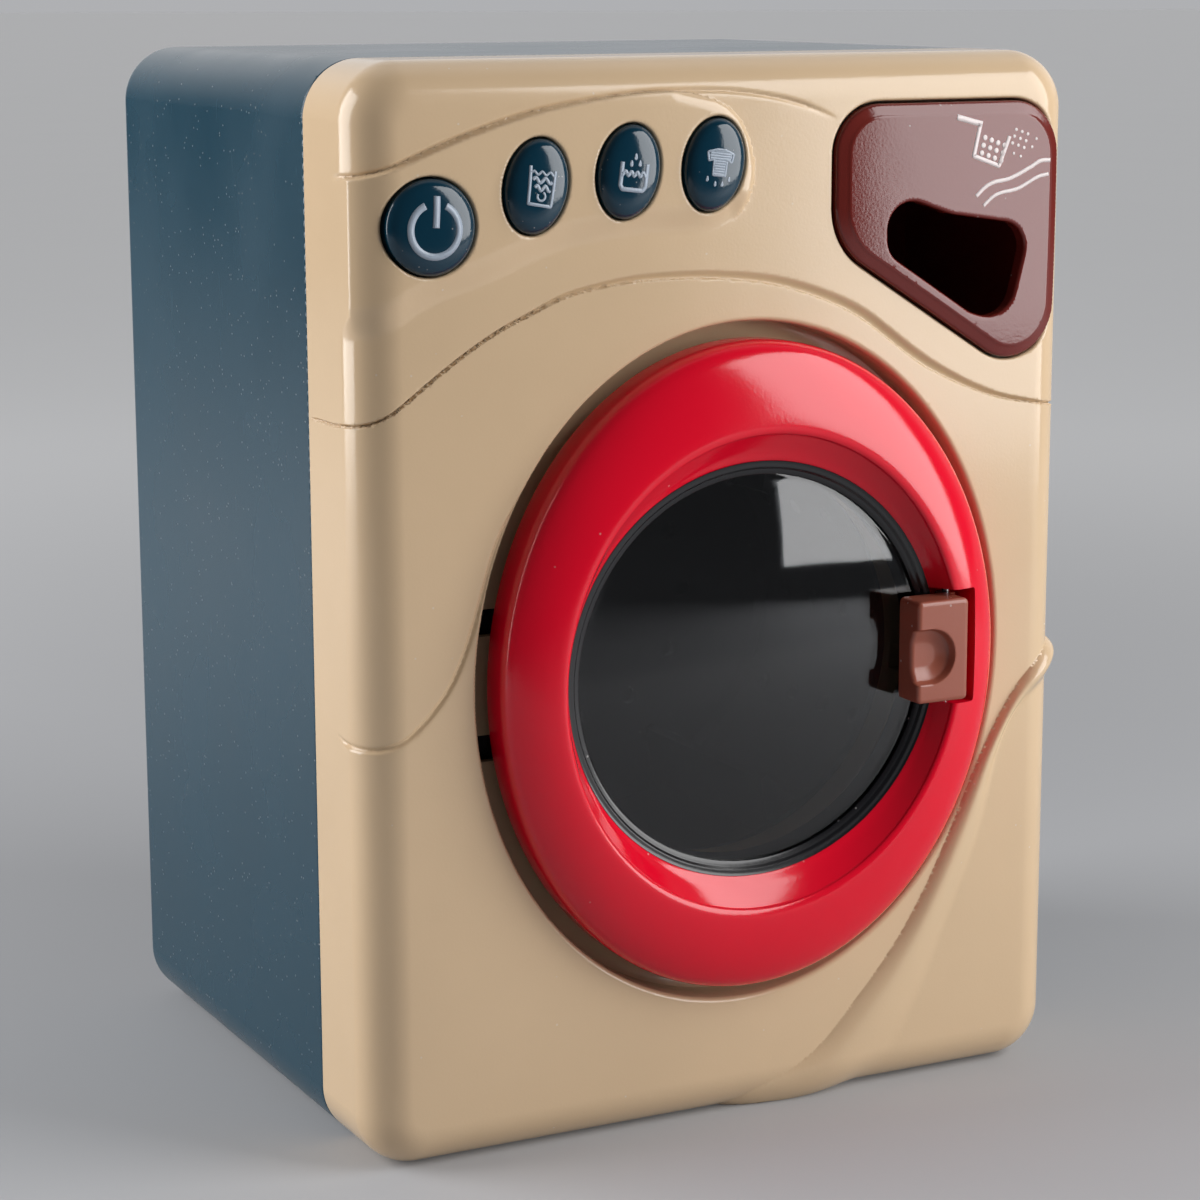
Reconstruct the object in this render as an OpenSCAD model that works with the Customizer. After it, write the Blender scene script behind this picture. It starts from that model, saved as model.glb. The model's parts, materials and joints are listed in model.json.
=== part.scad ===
// Toy front-loading washing machine, about a sixth of real size.
// +Z is up, the front faces -Y, and the origin is the middle of the flat base.
// A "depth" is a distance behind the flat front face, so a negative depth stands proud of it.

/* [Casing] */
// Width of the casing, side to side
casing_w = 178; // [174:1:196]
// Height of the casing
casing_h = 240; // [236:1:262]
// Depth from the front face to the back
casing_d = 148; // [144:1:180]
// Depth of the front shell, from the front face to the seam
bezel_d = 28; // [26:0.5:32]
// Wall thickness of both shells
wall = 2.5; // [2:0.1:2.8]
// Radius of the four long corners
corner_r = 13; // [11:0.5:16]
// Fillet round the front edge
front_edge_r = 10; // [6:0.5:10]
// Fillet round the back edge
back_edge_r = 5; // [3.5:0.5:8]
// Height of the raised relief on the front
relief_h = 1.6; // [1:0.1:2]

/* [Door] */
// Centre of the door, to the right of the middle
door_x = 3.4; // [0:0.2:5]
// Drop of the door's centre below the casing's middle
door_drop = 14.6; // [10:0.2:18]
// Half width of the oval recess that the door lies in
recess_rx = 66.2; // [65.5:0.1:68]
// Half height of the oval recess
recess_rz = 77.2; // [75:0.1:79]
// Depth of the recess floor
recess_depth = 9; // [8.5:0.1:9.5]
// Gap between the door ring and the recess wall
ring_gap = 3.7; // [3.2:0.1:4.5]
// How far the crest of the ring stands proud
ring_proud = 10.8; // [9.5:0.1:12]
// Radius of the window opening in the ring
window_r = 47.2; // [45:0.1:48]
// Wall thickness of the ring
ring_wall = 2.2; // [1.8:0.1:2.6]
// How far the door opens, in degrees
door_open = 95; // [80:1:95]

/* [Latch] */
// Width of the latch handle
latch_w = 13.5; // [12:0.5:15]
// Height of the latch handle
latch_h = 23.5; // [21:0.5:26]
// Front of the latch handle, proud of the front face
latch_proud = 13.6; // [12.8:0.1:15]
// Radius of the latch pin
latch_pin_r = 1; // [0.8:0.1:1.2]

/* [Buttons] */
// Radius of the round power button
power_r = 10; // [9:0.5:10.5]
// Half width of the oval buttons
oval_rx = 7.2; // [6:0.1:8]
// Half height of the oval buttons
oval_rz = 10; // [9:0.1:11]
// Lean of the oval buttons to the right, in degrees
oval_lean = 12; // [0:1:16]
// Button travel
button_travel = 1.5; // [1:0.1:1.6]
// Height of a button's dome over the panel
button_dome = 2.4; // [1.5:0.1:3]

/* [Drawer] */
// Width of the drawer front
drawer_w = 58.6; // [56:0.2:60]
// Height of the drawer front
drawer_h = 57.6; // [55:0.2:60]
// Length of the drawer tray behind its front
drawer_l = 62; // [50:1:80]
// How far the drawer slides out
drawer_travel = 44; // [30:1:46]
// Wall thickness of the drawer tray
drawer_wall = 1.8; // [1.5:0.1:2.2]

/* [Drum] */
// Outer radius of the turning drum
drum_r = 55; // [52:0.5:56]
// Depth that the door, the gears and the motor take, the drum's length being the rest
beside_drum = 80; // [78:1:90]
// Radius of the drum's mouth
mouth_r = 46; // [44:0.5:47]
// Radius of the drum shaft
shaft_r = 3; // [2.5:0.1:3.5]
// Number of vanes inside the drum
vane_count = 3; // [3:1:4]
// How far a vane reaches in from the drum wall
vane_h = 14; // [8:1:16]

/* [Drive] */
// Gear module
gear_module = 1; // [0.9:0.05:1]
// Teeth on the drum gear
drum_teeth = 48; // [44:4:48]
// Teeth on the small wheel of the idler
idler_small_teeth = 12; // [12:1:12]
// Teeth on the large wheel of the idler
idler_large_teeth = 40; // [36:4:40]
// Teeth on the motor pinion
pinion_teeth = 10; // [10:1:10]
// Radius of the motor can
motor_r = 12; // [10:0.5:12]
// Length of the motor can
motor_l = 25; // [20:1:27]

/* [Power and sound] */
// Radius of one battery cell
cell_r = 7.1; // [7:0.05:7.25]
// Length of one battery cell
cell_l = 50; // [49:0.5:50.5]
// Radius of the loudspeaker
speaker_r = 20; // [14:0.5:22]

/* [Fixings] */
// Radius of the casing screws
screw_r = 1.5; // [1.3:0.1:1.6]
// Radius of the hinge pin
hinge_pin_r = 1.25; // [1:0.05:1.4]

/* [Hidden] */

front_y = -casing_d / 2;
half_w = casing_w / 2;
across = casing_w / 178;       // share by which places on the front follow the width
door_z = casing_h / 2 - door_drop;
drum_l = casing_d - beside_drum;
fit = 0.05;          // radial clearance of a pin or screw in its hole
run = 0.3;           // gap between faces that pass each other
skin = 0.2;          // gap between fixed pieces that nest
round_fn = 64;

// Fixings: a screw's head, the boss it bites into and the wall under its head
head_r = 1.9 * screw_r;
head_t = 1.3 * screw_r;
boss_r = 4;
small_screw_r = 1.1;
small_head_r = 2.1;
small_head_t = 1.2;
small_boss_r = 2.8;

// Depths along the machine, front to back
floor_back = recess_depth + 2.2;
tub_front = floor_back + 5.3;
tub_wall = 2;
drum_front = tub_front + tub_wall + 2;
drum_wall = 1.8;
drum_back = drum_front + drum_l;
tub_r = drum_r + 3 + tub_wall;
tub_ear = tub_r + 6;
tub_back = drum_back + 8.5;
hub_l = 4;
bush_d = drum_back + hub_l + run;
gear_w = 6;
drum_gear_d = tub_back + 2.6;
small_wheel_d = drum_gear_d - 0.5;
large_wheel_d = drum_gear_d + gear_w + 1.5;
plate_d = large_wheel_d + gear_w - 0.5 + 1.5;
plate_t = 2;
back_inside = casing_d - wall;

// Drive train, in the plane across the machine
idler_reach = gear_module * (drum_teeth + idler_small_teeth) / 2;
motor_reach = gear_module * (idler_large_teeth + pinion_teeth) / 2;
idler_angle = 126.87;
idler_at = [door_x + idler_reach * cos(idler_angle), door_z + idler_reach * sin(idler_angle)];
motor_at = idler_at + [0, motor_reach];
idler_pin_r = 1.5;
motor_shaft_r = 1;
pillar_r = 4;
pillars = [[31, -12], [-40, -1], [11, 43], [-44, 28]];

// Door: the hinge axis lies behind the front face, to the left of the recess
ring_rx = recess_rx - ring_gap;
ring_rz = recess_rz - ring_gap;
ring_back = 4;
seat_d = -5.2;           // depth at which the ring's inner slope ends
rim_t = 2;
glass_t = 2;
glass_d = seat_d + rim_t;
door_back_d = 3;
door_back_t = 2;
arm_z = 14;              // height of the two hinge arms above and below the door's centre
arm_t = 5;
arm_w = 2.2;
knuckle_r = 2.6;
arm_reach = 9;           // how far back the arms loop behind the hinge axis
hinge_x = door_x - recess_rx - 5.7;
arm_span = door_x - ring_rx + 5.6 - hinge_x;
hinge_d = wall + knuckle_r + 0.4;
lug_t = 3.2;
hinge_pin_l = 2 * (arm_z + arm_t / 2 + run + lug_t);

// Latch
latch_z = door_z + 1.5;
latch_back = seat_d - 0.5;
latch_x = door_x + window_r - 10.5;
latch_hub_r = 2.3;
latch_pin_x = door_x + window_r + latch_hub_r + 0.6;
latch_pin_d = seat_d + 1.4;
latch_swing = 10;
notch_x = latch_x + latch_w + 4;
notch_h = latch_h + 3;
hook_w = 3;
hook_h = 6;
hook_z = latch_z - 6;
hook_end = floor_back + 1.8;
barb = 1.4;
spring_slot_z = latch_z + 3;

// Buttons: place, then half sizes and lean of each
power_at = [-half_w + 16.1 * across, casing_h - 33.9];
wash_at = [-half_w + 40.4 * across, casing_h - 26.3];
rinse_at = [-half_w + 62.2 * across, casing_h - 23.9];
spin_at = [-half_w + 82.9 * across, casing_h - 23];
button_gap = 0.45;
flange_lip = 1.2;
collar_end = 5.9;
flange_d = collar_end + run;
flange_t = 1.2;
stem_r = 2;
stem_end = 10.2;
board_d = 17;
board_t = 1.6;
switch_d = stem_end + button_travel + 0.2;
board_low = casing_h - 44;
board_high = casing_h - 13.5;
board_left = -half_w + 5;
board_right = spin_at[0] + 11;
board_posts = [[-half_w + 28, casing_h - 18.6], [-half_w + 53, casing_h - 39],
  [spin_at[0] + 7.5, casing_h - 39]];

// Drawer front: four corners with their radii, from the top right of the casing
drawer_right = half_w - 5.3;
drawer_left = drawer_right - drawer_w;
drawer_top = casing_h - 11;
drawer_low = drawer_top - drawer_h;
drawer_slope = 0.634;
drawer_gap = 0.5;
drawer_face_t = 3;
drawer_proud = 2;
guide_wall = 1.5;
guide_d = 8;
guide_l = drawer_l + 2;
ear_t = 2;
toe_z = drawer_low - 10.3;
drawer_corners = [[drawer_left, drawer_top, 11], [drawer_right, drawer_top, 12],
  [drawer_right, toe_z, 12], [drawer_left, toe_z + drawer_slope * drawer_w, 15]];
// Finger hole in the drawer front, from the front's left and lower edges
hole_corners = [for (p = [[12.4, 38.6, 6.2], [29, 32.8, 18], [50.5, 29.6, 6], [45, 7.5, 7],
  [35, 10.5, 9], [12.8, 24.6, 6]]) [drawer_left + p[0], drawer_low + p[1], p[2]]];
guide_ears = [[drawer_left - 5.5, casing_h - 36], [drawer_right - 20, drawer_low - 7.5]];

// Casing screws, from the outside of the casing
casing_posts = [[-half_w + 9, 18], [half_w - 9, 18], [-half_w + 9, door_z + 44.6],
  [half_w - 9, door_z + 44.6], [-half_w + 11, casing_h - 9], [drawer_left - 11, casing_h - 8]];
post_r = 4.6;
post_floor = 3;

// Battery box on the back wall
cell_pitch = 2 * cell_r + 0.8;
box_w = 3 * cell_pitch + 0.8;
box_h = cell_l + 6;
box_low = 12;
box_wall = 1.6;
box_deep = 2 * cell_r + 1.4;
cover_t = 2.3;
cover_gap = 0.3;
cover_w = box_w + 2 * box_wall;
cover_h = box_h + 2 * box_wall;
cover_mid = box_low + box_h / 2;
cover_post = [0, cover_mid + box_h / 2 + box_wall + 4.5];

// Loudspeaker on the back wall
speaker_at = [-half_w + 45, casing_h - 46];
speaker_t = 8;

// Relief curves on the front, as shares of the half width and of the recess height
function on_front(u, v) = [u * half_w, door_z + v * recess_rz];
arch_points = [for (p = [[-1.02, 0.77], [-0.9, 0.835], [-0.742, 0.973], [-0.506, 1.096],
  [-0.112, 1.139], [0.2, 1.083], [0.427, 0.966], [0.63, 0.837], [0.79, 0.735], [1.02, 0.69]])
  on_front(p[0], p[1])];
swirl_points = [for (p = [[-1.02, -0.125], [-0.91, -0.114], [-0.82, -0.03], [-0.74, 0.12],
  [-0.67, 0.35], [-0.6, 0.52], [-0.52, 0.635]]) on_front(p[0], p[1])];
ribbon_sharp = [for (p = [[1.03, 0.01], [0.865, -0.145], [0.8, -0.255], [0.74, -0.377],
  [0.673, -0.548], [0.578, -0.764], [0.482, -0.929], [0.366, -1.08], [0.2, -1.25],
  [0, -1.38]]) on_front(p[0], p[1])];
ribbon_soft = [for (p = [[1.03, -0.12], [0.88, -0.2], [0.82, -0.32], [0.765, -0.56],
  [0.69, -0.77], [0.6, -0.99], [0.5, -1.22], [0.38, -1.4]]) on_front(p[0], p[1])];
groove_points = [for (p = [[-1, 24.5], [8, 21], [16.8, 18.1], [32.8, 12.6], [56, 8.8],
  [80, 7.8], [100, 9.7]]) [-half_w + p[0], casing_h - p[1]]];
fin_low = [for (p = [[-1, 59], [8, 56.3], [15.7, 51.5], [31, 46.5], [56, 39.6], [78, 37.6],
  [90, 35], [94.3, 27], [92, 14.5], [84, 9]]) [-half_w + p[0], casing_h - p[1]]];

// Smooth curve through a list of points, with n steps from each to the next
function smooth(p, n) = concat([for (i = [0:len(p) - 2]) for (k = [0:n - 1])
  let(t = k / n, a = p[max(i - 1, 0)], b = p[i], c = p[i + 1], d = p[min(i + 2, len(p) - 1)])
  0.5 * (2 * b + (c - a) * t + (2 * a - 5 * b + 4 * c - d) * t * t
    + (3 * b - a - 3 * c + d) * t * t * t)], [p[len(p) - 1]]);
function tub_ears() = [for (a = [45:90:315]) [door_x + tub_ear * cos(a), door_z + tub_ear * sin(a)]];
function unit(v) = v / norm(v);
function side(p, i) = let(t = unit(p[min(i + 1, len(p) - 1)] - p[max(i - 1, 0)])) [-t[1], t[0]];
function moved(p, s) = [for (i = [0:len(p) - 1]) p[i] + s * side(p, i)];
// The same curve without its first point, which lies off the casing's side
function inland(p) = [for (i = [1:len(p) - 1]) p[i]];
function backwards(p) = [for (i = [len(p) - 1:-1:0]) p[i]];
// Closed band of width w along a curve
function band(p, w) = concat(moved(p, w / 2), backwards(moved(p, -w / 2)));
// Oval outline
function oval(rx, rz, n = 96) = [for (i = [0:n - 1]) [rx * cos(360 * i / n), rz * sin(360 * i / n)]];
// Arc that rounds the corner b between a and c
function corner_arc(a, b, c, r, n) = let(u = unit(a - b), v = unit(c - b),
  half = acos(u * v) / 2, o = b + unit(u + v) * r / sin(half),
  s = b + u * r / tan(half) - o, e = b + v * r / tan(half) - o,
  a0 = atan2(s[1], s[0]), turn = atan2(s[0] * e[1] - s[1] * e[0], s * e))
  [for (k = [0:n]) o + r * [cos(a0 + turn * k / n), sin(a0 + turn * k / n)]];
// Outline with rounded corners, each corner given as [x, z, radius]
function rounded(p, n = 10) = [for (i = [0:len(p) - 1])
  let(m = len(p), a = p[(i + m - 1) % m], b = p[i], c = p[(i + 1) % m])
  each corner_arc([a[0], a[1]], [b[0], b[1]], [c[0], c[1]], b[2], n)];
function rect_points(w, h, r) = rounded([[-w / 2, -h / 2, r], [w / 2, -h / 2, r],
  [w / 2, h / 2, r], [-w / 2, h / 2, r]]);

// Places a flat shape, drawn as seen from the front, from depth d to depth d + t
module plate(d, t) {
  translate([0, front_y + d + t, 0]) rotate([90, 0, 0]) linear_extrude(t) children();
}
// Straight rod from depth d, l long, at a place seen from the front
module rod(at, d, l, r) {
  translate([at[0], front_y + d, at[1]]) rotate([-90, 0, 0]) cylinder(r = r, h = l, $fn = round_fn);
}
// Turned shape about a front-to-back axis, drawn as radius against depth
module turned(at, d = 0) {
  translate([at[0], front_y + d, at[1]]) rotate([-90, 0, 0]) rotate_extrude($fn = round_fn) children();
}
// Upright rod that starts at height z
module upright(x, d, z, l, r) {
  translate([x, front_y + d, z]) cylinder(r = r, h = l, $fn = round_fn);
}
// Box between two depths and two heights
module block(x0, x1, d0, d1, z0, z1) {
  translate([x0, front_y + d0, z0]) cube([x1 - x0, d1 - d0, z1 - z0]);
}
// Screw that points to the front, its head's underside at depth d
module screw(at, d, l, r, hr, ht) {
  difference() {
    union() {
      rod(at, d - l, l + ht / 2, r);
      turned(at, d) polygon([[0, 0], [hr, 0], [hr, ht * 0.6], [hr * 0.7, ht], [0, ht]]);
    }
    for (turn = [0, 90]) translate([at[0], front_y + d + ht, at[1]]) rotate([0, turn, 0])
      cube([hr * 1.2, ht, hr * 0.28], center = true);
  }
}
// Tube of radius r swept along a list of points, with n sides
module sweep(p, r, n) {
  m = len(p);
  rings = [for (i = [0:m - 1]) let(
      t = unit(p[min(i + 1, m - 1)] - p[max(i - 1, 0)]),
      u = unit(cross(t, abs(t[2]) < 0.9 ? [0, 0, 1] : [0, 1, 0])), v = cross(t, u))
      each [for (k = [0:n - 1]) p[i] + r * (cos(360 * k / n) * u + sin(360 * k / n) * v)]];
  sides = [for (i = [0:m - 2]) for (k = [0:n - 1]) let(
      a = i * n + k, b = i * n + (k + 1) % n)
      each [[a, a + n, b + n], [a, b + n, b]]];
  polyhedron(points = rings, faces = concat(sides,
    [[for (k = [0:n - 1]) k]], [[for (k = [n - 1:-1:0]) (m - 1) * n + k]]));
}
// Solid skinned over outlines of equal length, each given as [depth, outline seen from the front]
module loft(levels) {
  n = len(levels[0][1]);
  m = len(levels);
  polyhedron(points = [for (l = levels) each [for (p = l[1]) [p[0], front_y + l[0], p[1]]]],
    faces = concat([[for (k = [n - 1:-1:0]) k]], [[for (k = [0:n - 1]) (m - 1) * n + k]],
      [for (i = [0:m - 2]) for (k = [0:n - 1]) let(a = i * n + k, b = i * n + (k + 1) % n)
        each [[a, b, b + n], [a, b + n, a + n]]]));
}
// Coil spring about a front-to-back axis
module coil(at, d, l, r, wire, turns) {
  steps = 14 * turns;
  sweep([for (i = [0:steps]) let(a = 360 * turns * i / steps)
    [at[0] + r * cos(a), front_y + d + wire + (l - 2 * wire) * i / steps, at[1] + r * sin(a)]],
    wire, 6);
}

// Depth profile of one long corner: radius r, fillets at its front and back ends
function corner_profile(r, d0, d1, f, b) = concat([[0, d0]],
  f > 0 ? [for (a = [0:10:90]) [r - f + f * sin(a), d0 + f - f * cos(a)]] : [[r, d0]],
  b > 0 ? [for (a = [0:15:90]) [r - b + b * cos(a), d1 - b + b * sin(a)]] : [[r, d1]],
  [[0, d1]]);
// Block with the casing's outline, drawn in by inset
module casing_block(d0, d1, inset, front_r, back_r) {
  x = half_w - corner_r;
  translate([0, front_y, 0]) rotate([-90, 0, 0]) hull()
    for (sx = [-1, 1], z = [corner_r, casing_h - corner_r]) translate([sx * x, -z, 0])
      rotate_extrude($fn = 32)
        polygon(corner_profile(corner_r - inset, d0, d1, front_r, back_r));
}
module casing_outline(inset) {
  translate([0, casing_h / 2])
    polygon(rect_points(casing_w - 2 * inset, casing_h - 2 * inset, corner_r - inset));
}
module at_door() { translate([door_x, door_z]) children(); }
module power_outline(grow) { translate(power_at) circle(power_r + grow, $fn = round_fn); }
module oval_outline(at, grow) {
  translate(at) rotate(-oval_lean) polygon(oval(oval_rx + grow, oval_rz + grow, 48));
}
module drawer_outline(grow) { offset(r = grow) polygon(rounded(drawer_corners)); }
// Outline of the machine's relief: the panel round the buttons and the swept ribbon
module relief_outline() {
  ribbon = concat(smooth(ribbon_sharp, 5), backwards(smooth(ribbon_soft, 5)));
  polygon(ribbon);
  polygon(concat(smooth(inland(groove_points), 5), backwards(smooth(inland(fin_low), 5))));
}
// Region that the door's hinge arms sweep through, drawn from above about the hinge axis
module arm_sweep(extra) {
  r = norm([arm_span + arm_w / 2, arm_reach + arm_w / 2]) + extra;
  back = arm_w / 2 + extra;
  front = arm_w / 2 + (arm_reach + arm_w / 2) * max(0, sin(door_open - 90)) + extra;
  for (s = [-1, 1]) translate([hinge_x, front_y + hinge_d, door_z + s * arm_z - arm_t / 2 - extra])
    linear_extrude(arm_t + 2 * extra) intersection() {
      circle(r, $fn = round_fn);
      translate([-back, -front]) square(2 * r);
    }
}

module front_bezel() {
  color([0.85, 0.77, 0.64]) difference() {
    union() {
      difference() {
        union() {
          casing_block(0, bezel_d, 0, front_edge_r, 0);
          intersection() {
            casing_block(-relief_h, bezel_d, -relief_h, front_edge_r + relief_h, 0);
            plate(-relief_h, bezel_d + relief_h) relief_outline();
            block(-casing_w, casing_w, -relief_h, bezel_d, 0, casing_h);
          }
        }
        casing_block(wall, bezel_d + 1, wall, front_edge_r - wall, 0);
      }
      // recess wall and floor, and the collar that the tub seats on
      plate(wall / 2, floor_back - wall / 2) at_door() polygon(oval(recess_rx + 2, recess_rz + 2));
      plate(floor_back - 0.1, tub_front - floor_back + 0.1) at_door()
        circle(mouth_r + 5.5, $fn = round_fn);
      for (p = tub_ears()) rod(p, floor_back - 0.1, tub_front - floor_back + 0.1, 3.4);
      // screw posts, and collars that guide the buttons, all inside the skin
      intersection() {
        casing_block(wall / 2, bezel_d, wall / 2, front_edge_r - wall / 2, 0);
        union() {
          plate(wall / 2, collar_end - wall / 2) {
            power_outline(button_gap + 1.2);
            for (at = [wash_at, rinse_at, spin_at]) oval_outline(at, button_gap + 1.2);
          }
          for (p = casing_posts) rod(p, wall / 2, bezel_d - wall / 2, boss_r);
          for (p = board_posts) rod(p, wall / 2, board_d - wall / 2, small_boss_r);
          for (p = guide_ears) rod(p, wall / 2, guide_d - wall / 2, small_boss_r);
        }
      }
      // hinge lugs behind the front, on both sides of each arm
      for (s = [-1, 1], e = [-1, 1]) let(z = door_z + s * arm_z + e * (arm_t / 2 + run + lug_t / 2))
        block(hinge_x - knuckle_r - 1, hinge_x + knuckle_r + 0.6, wall / 2, hinge_d + knuckle_r + 0.6,
          z - lug_t / 2, z + lug_t / 2);
    }
    // recess, drum mouth and the slots for the hinge arms and the latch hook
    plate(-relief_h - 1, recess_depth + relief_h + 1) at_door() polygon(oval(recess_rx, recess_rz));
    plate(recess_depth - 1, tub_front) at_door() circle(mouth_r, $fn = round_fn);
    arm_sweep(0.5);
    block(latch_pin_x - 5.6, latch_pin_x + hook_w / 2 + barb + 0.6, recess_depth - 1, hook_end + 0.7,
      hook_z - hook_h / 2 - 1, hook_z + hook_h / 2 + 1);
    // holes for the buttons and the drawer
    plate(-relief_h - 1, collar_end + relief_h + 2) {
      power_outline(button_gap);
      for (at = [wash_at, rinse_at, spin_at]) oval_outline(at, button_gap);
    }
    plate(-relief_h - 1, guide_d + relief_h + 1) drawer_outline(drawer_gap);
    // grooves
    plate(-relief_h - 1, relief_h + 1.7) {
      polygon(band(smooth(groove_points, 5), 1));
      polygon(band(smooth(swirl_points, 6), 0.8));
    }
    plate(-relief_h - 1, relief_h + 2) polygon(band(smooth(arch_points, 5), 2.4));
    // screw holes and the hinge pin's bore
    for (p = casing_posts) rod(p, bezel_d - 14, 15, screw_r + fit);
    for (p = tub_ears()) rod(p, recess_depth + 1, tub_front, small_screw_r + fit);
    for (p = board_posts) rod(p, board_d - 9, 10, small_screw_r + fit);
    for (p = guide_ears) rod(p, guide_d - 5, 6, small_screw_r + fit);
    upright(hinge_x, hinge_d, door_z - hinge_pin_l, 2 * hinge_pin_l, hinge_pin_r + fit / 2);
  }
}

module rear_casing() {
  color([0.03, 0.24, 0.32]) difference() {
    union() {
      difference() {
        casing_block(bezel_d, casing_d, 0, 0, back_edge_r);
        casing_block(bezel_d - 1, back_inside, wall, 0, back_edge_r - wall);
      }
      // tongue that nests inside the front shell
      plate(bezel_d - 3, 6) difference() {
        casing_outline(wall + skin);
        casing_outline(wall + skin + 1.2);
        drawer_outline(drawer_gap + guide_wall + 0.3);
      }
      for (p = casing_posts) rod(p, bezel_d, back_inside + 1 - bezel_d, post_r);
      rod(cover_post, back_inside - 8, 9, small_boss_r);
      for (p = speaker_posts()) rod(p, back_inside - 6, 7, small_boss_r);
      for (p = box_posts()) rod(p, back_inside - 6, 7, small_boss_r);
      // ring that centres the loudspeaker
      plate(back_inside - 4, 5) translate(speaker_at) difference() {
        circle(speaker_r + skin + 1.5, $fn = round_fn);
        circle(speaker_r + skin, $fn = round_fn);
      }
    }
    for (p = casing_posts) {
      rod(p, bezel_d + post_floor, casing_d, head_r + 0.4);
      rod(p, bezel_d - 1, 10, screw_r + 0.2);
    }
    rod(cover_post, back_inside - 7, 6.5, small_screw_r + fit);
    rod(cover_post, back_inside - 0.5, wall + 1, small_screw_r + 0.2);
    for (p = concat(speaker_posts(), box_posts())) rod(p, back_inside - 7, 6, small_screw_r + fit);
    // battery opening, sound holes
    plate(back_inside - 1, wall + 2) translate([0, cover_mid])
      polygon(rect_points(cover_w + 2 * cover_gap, cover_h + 2 * cover_gap, 2));
    plate(casing_d - 1.2, 2) hull() for (z = [cover_mid + 20, cover_post[1]])
      translate([0, z]) circle(5 + cover_gap, $fn = 32);
    rod(speaker_at, back_inside - 1, wall + 2, 1.4);
    for (k = [1:3], i = [0:6 * k - 1]) let(a = 360 * i / (6 * k), r = k * speaker_r * 0.25)
      rod(speaker_at + r * [cos(a), sin(a)], back_inside - 1, wall + 2, 1.4);
  }
}

module casing_screws() {
  color("silver") for (p = casing_posts)
    screw(p, bezel_d + post_floor, 12, screw_r, head_r, head_t);
}

function speaker_posts() = [for (s = [-1, 1]) speaker_at + [s * (speaker_r + 6), 0]];
function box_posts() = [for (s = [-1, 1]) [s * (box_w / 2 + box_wall + 5), cover_mid]];

module battery_box() {
  top = back_inside - box_deep - box_wall;
  color([0.03, 0.2, 0.26]) difference() {
    union() {
      plate(top, box_deep + box_wall) translate([0, cover_mid])
        polygon(rect_points(box_w + 2 * box_wall, box_h + 2 * box_wall, 2));
      // ears that screw to the back wall
      plate(back_inside - 8, ear_t) for (p = box_posts()) {
        translate(p) circle(4, $fn = round_fn);
        translate([(p[0] > 0 ? 1 : -1) * (box_w / 2 + 2.3) - 3, p[1] - 4]) square([6, 8]);
      }
    }
    plate(top + box_wall, box_deep + 1) translate([0, cover_mid]) square([box_w, box_h], center = true);
    for (p = box_posts()) rod(p, back_inside - 9, 4, small_screw_r + 0.2);
    // way out for the wires
    rod([-box_w / 2 + 3, cover_mid + box_h / 2 - 4], top - 1, box_wall + 2, 1.6);
  }
}

// Screw that points to the back, its head's underside at depth d
module back_screw(at, d, l, r, hr, ht) {
  mirror([0, 1, 0]) translate([0, -2 * front_y, 0]) screw(at, -d, l, r, hr, ht);
}
module battery_box_screws() {
  color("silver") for (p = box_posts())
    back_screw(p, back_inside - 8, 6.5, small_screw_r, small_head_r, small_head_t);
}

function cell_x(i) = (i - 1) * cell_pitch;
cell_d = back_inside - box_deep + cell_r + 0.1;
cell_low = box_low + 2.4;
module battery_cells() {
  color([0.75, 0.75, 0.72]) for (i = [0:2]) translate([cell_x(i), front_y + cell_d, cell_low]) {
    up = i % 2 == 0;
    cylinder(r = cell_r, h = cell_l, $fn = round_fn);
    translate([0, 0, up ? cell_l - 0.01 : -1.2]) cylinder(r = 2.6, h = 1.21, $fn = 32);
  }
}

module battery_contacts() {
  color([0.8, 0.8, 0.82]) for (i = [0:2], e = [0, 1]) {
    button_end = (i % 2 == 0) == (e == 1);
    z = e == 0 ? box_low + 0.05 : box_low + box_h - 0.45;
    block(cell_x(i) - 5, cell_x(i) + 5, cell_d - 5, cell_d + 5, z, z + 0.4);
    tip = e == 0 ? z + 0.39 : z + 0.01;
    reach = button_end ? (e == 0 ? cell_low - 1.25 - tip : tip - cell_low - cell_l - 1.25)
      : (e == 0 ? cell_low - 0.1 - tip : tip - cell_low - cell_l - 0.1);
    translate([cell_x(i), front_y + cell_d, e == 0 ? tip : tip - reach])
      cylinder(r1 = e == 0 ? 4 : 2.4, r2 = e == 0 ? 2.4 : 4, h = reach, $fn = 32);
  }
}

module battery_cover() {
  color([0.03, 0.24, 0.32]) difference() {
    union() {
      plate(casing_d - cover_t, cover_t - 0.1) translate([0, cover_mid])
        polygon(rect_points(cover_w, cover_h, 2));
      plate(casing_d - 1.1, 1) hull() for (z = [cover_mid + 20, cover_post[1]])
        translate([0, z]) circle(5, $fn = 32);
      // finger ribs
      for (i = [0:3]) plate(casing_d - 0.2, 0.7) translate([-9, box_low + 10 + 3 * i]) square([18, 1.2]);
    }
    rod(cover_post, casing_d - 2, 3, small_screw_r + 0.2);
  }
}

module battery_cover_screw() {
  color("silver") screw(cover_post, casing_d - 0.1, 8, small_screw_r, small_head_r, small_head_t * 0.9);
}

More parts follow.
